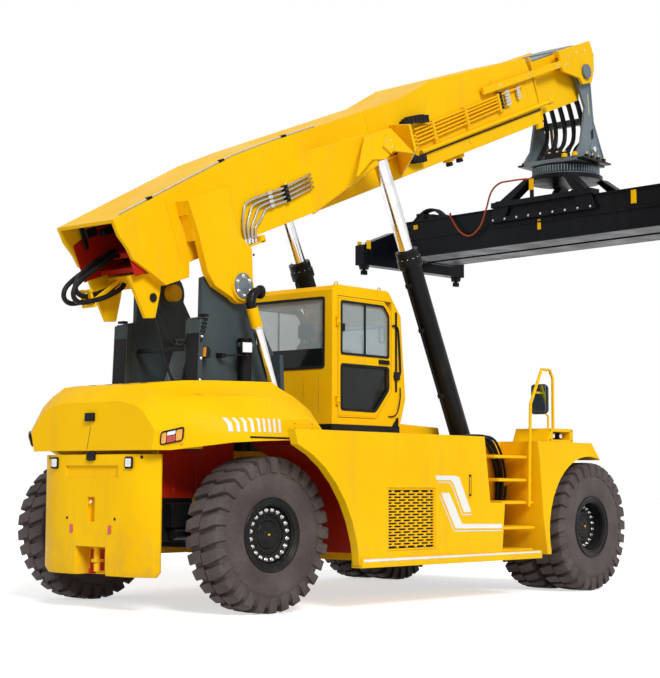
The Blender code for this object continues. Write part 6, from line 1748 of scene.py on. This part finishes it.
def make_spreader_pipes():
    pipes = Shape()
    for k in range(3):
        x = 0.04 * k
        for end in BOTH:
            run = ((x - 0.02, 0.9, -0.62), (x - 0.02, 1.4, -0.58), (x, 2.0, -0.62), (x, 2.42, -0.66))
            pipes.sweep(curve_through([spread(a, SHIFT + end * y, z) for a, y, z in run]), 0.014, 8)
    for y in (-1.2, -1.8, -2.35, 1.2, 1.8, 2.35):
        spread_block(pipes, (-0.09, SHIFT + y - 0.03, -0.66), (0.16, SHIFT + y + 0.03, -0.56))
    piece("spreader_pipes", pipes, PLASTIC, 0.001, "spreader_frame")


def make_head_beams():
    # yellow pads, plates with holes, lock housings
    for side, word in SIDES:
        body = "telescope_" + word
        y = SHIFT + side * LOCK_Y
        yellow, dark, pins = shapes(3)
        for ex in BOTH:
            x = ex * LOCK_X
            spread_block(yellow, (x - 0.045, y - 0.112, -0.96), (x + 0.045, y - 0.098, -0.82))
            spread_block(yellow, (x - 0.045, y + 0.098, -0.96), (x + 0.045, y + 0.112, -0.82))
            dark.lathe([(-0.07, 0.032), (-0.07, 0.075), (-0.004, 0.090), (0.0, 0.090), (0.0, 0.032)],
                       spread(x, y, -1.2208), UP, 24)
            pins.lathe([(0.0, 0.001), (0.0, 0.055), (0.05, 0.050), (0.055, 0.001)], spread(x, y, -0.905), UP,
                       20)
            heads = [spread(x + dx, y - side * 0.101, z) for z in (-1.0, -1.07) for dx in (-0.05, 0.05)]
            dark.bolts(heads, SLEW_TURN @ outward(-side), 0.012)
            # guide arm at the corner, drawn folded down
            ends = sorted((y, y + side * 0.100))
            spread_block(dark, (x - 0.05, ends[0], -1.19), (x + 0.05, ends[1], -0.95))
        for x in (-0.45, 0.45):
            dark.lathe([(0.0, 0.001), (0.0, 0.055), (0.006, 0.055), (0.008, 0.001)],
                       spread(x, y + side * 0.10, -0.80), SLEW_TURN @ outward(side), 24)
        spread_block(yellow, (-0.30, y + side * 0.100, -0.86), (0.30, y + side * 0.106, -0.78))
        piece("head_beam_marks_" + word, yellow, YELLOW, 0.002, body)
        piece("head_beam_parts_" + word, dark, BLACK, 0.003, body)
        piece("lock_heads_" + word, pins, ZINC, 0.002, body)


def make_orange_hose():
    # it lies loose over the spreader's side
    run = [(-0.50, 0.24, -0.11), (-0.58, 0.36, -0.11), (-0.65, 0.56, -0.12), (-0.68, 0.76, -0.14),
           (-0.68, 0.92, -0.26), (-0.665, 1.03, -0.50), (-0.65, 1.17, -0.76), (-0.64, 1.38, -0.88),
           (-0.64, 1.58, -0.80), (-0.635, 1.73, -0.62), (-0.61, 1.82, -0.50), (-0.55, 1.87, -0.46),
           (-0.50, 1.90, -0.50)]
    hose("orange_hose", [spread(*p) for p in run], 0.014, ("slew_frame", "spreader_frame"), "slew_frame",
         ORANGE_HOSE, "spreader_frame")


# Light, floor and backdrop


def make_floor():
    floor = bpy.data.meshes.new("floor")
    reach = 90
    floor.from_pydata([(-reach, -reach, 0), (reach, -reach, 0), (reach, reach, 0), (-reach, reach, 0)], [],
                      [(0, 1, 2, 3)])
    ground = bpy.data.objects.new("floor", floor)
    ground.location.z = -0.001
    SCENE.collection.objects.link(ground)
    material = bpy.data.materials.new("floor")
    material.use_nodes = True
    tree = material.node_tree
    shader = tree.nodes["Principled BSDF"]
    shader.inputs["Base Color"].default_value = (0.80, 0.80, 0.80, 1)
    shader.inputs["Roughness"].default_value = 0.9
    shader.inputs["Specular IOR Level"].default_value = 0.0
    glow = tree.nodes.new("ShaderNodeEmission")
    glow.inputs["Strength"].default_value = 0.62
    both = tree.nodes.new("ShaderNodeAddShader")
    mix = tree.nodes.new("ShaderNodeMixShader")
    seen = background_rays(tree)
    tree.links.new(shader.outputs["BSDF"], both.inputs[0])
    tree.links.new(glow.outputs["Emission"], both.inputs[1])
    tree.links.new(seen, mix.inputs["Fac"])
    tree.links.new(shader.outputs["BSDF"], mix.inputs[1])
    tree.links.new(both.outputs["Shader"], mix.inputs[2])
    tree.links.new(mix.outputs["Shader"], tree.nodes["Material Output"].inputs["Surface"])
    floor.materials.append(material)


def make_world():
    world = bpy.data.worlds.new("studio")
    world.use_nodes = True
    SCENE.world = world
    tree = world.node_tree
    soft = tree.nodes["Background"]
    soft.inputs["Color"].default_value = (0.95, 0.97, 1.0, 1)
    soft.inputs["Strength"].default_value = 0.36
    white = tree.nodes.new("ShaderNodeBackground")
    white.inputs["Color"].default_value = (1, 1, 1, 1)
    white.inputs["Strength"].default_value = 1.0
    mix = tree.nodes.new("ShaderNodeMixShader")
    tree.links.new(background_rays(tree), mix.inputs["Fac"])
    tree.links.new(soft.outputs["Background"], mix.inputs[1])
    tree.links.new(white.outputs["Background"], mix.inputs[2])
    tree.links.new(mix.outputs["Shader"], tree.nodes["World Output"].inputs["Surface"])


def make_lights():
    for name, strength, width, toward in (("key", 2.5, 20, (0.42, 0.80, -0.62)),
                                          ("fill", 0.45, 60, (0.85, -0.2, -0.5))):
        lamp = bpy.data.lights.new(name, "SUN")
        lamp.energy = strength
        lamp.angle = radians(width)
        holder = bpy.data.objects.new(name, lamp)
        holder.rotation_mode = "QUATERNION"
        holder.rotation_quaternion = Vector(toward).to_track_quat("-Z", "Y")
        SCENE.collection.objects.link(holder)


def background_rays(tree):
    # 1 for what the camera, gloss and glass see
    rays = tree.nodes.new("ShaderNodeLightPath")
    total = rays.outputs["Is Camera Ray"]
    for name in ("Is Glossy Ray", "Is Transmission Ray"):
        step = tree.nodes.new("ShaderNodeMath")
        step.operation = "MAXIMUM"
        tree.links.new(total, step.inputs[0])
        tree.links.new(rays.outputs[name], step.inputs[1])
        total = step.outputs["Value"]
    return total


SCENE.view_settings.view_transform = "Standard"
make_camera()
make_tail_lining()
make_tail_cylinder()
make_tail_hoses()
make_hanging_hoses()
make_fin_plugs()
make_boom_mouth()
dress_nodes()
make_wheels()
make_axle_details()
make_counterweight_details()
make_engine_bay()
make_tail_lamps()
make_hood_details()
make_skin_marks()
make_grilles()
make_step_details()
make_well_hoses()
make_fender_details()
make_mirrors()
make_deck_cover()
make_cab_mounts()
make_cab_details()
make_seat()
make_console()
make_tower_details()
make_guard_plate()
make_exhaust_details()
make_lift_details()
make_pivot_caps()
make_lift_pin_caps()
make_boom_pipes()
make_chain_links()
make_top_pipe()
make_boom_lamps()
make_head_details()
make_head_hoses()
make_hanger_details()
make_slew_ring()
make_leg_details()
make_slew_pointer()
make_hanger_caps()
make_spreader_valves()
make_spreader_flanges()
make_spreader_pipes()
make_head_beams()
make_orange_hose()
make_floor()
make_world()
make_lights()
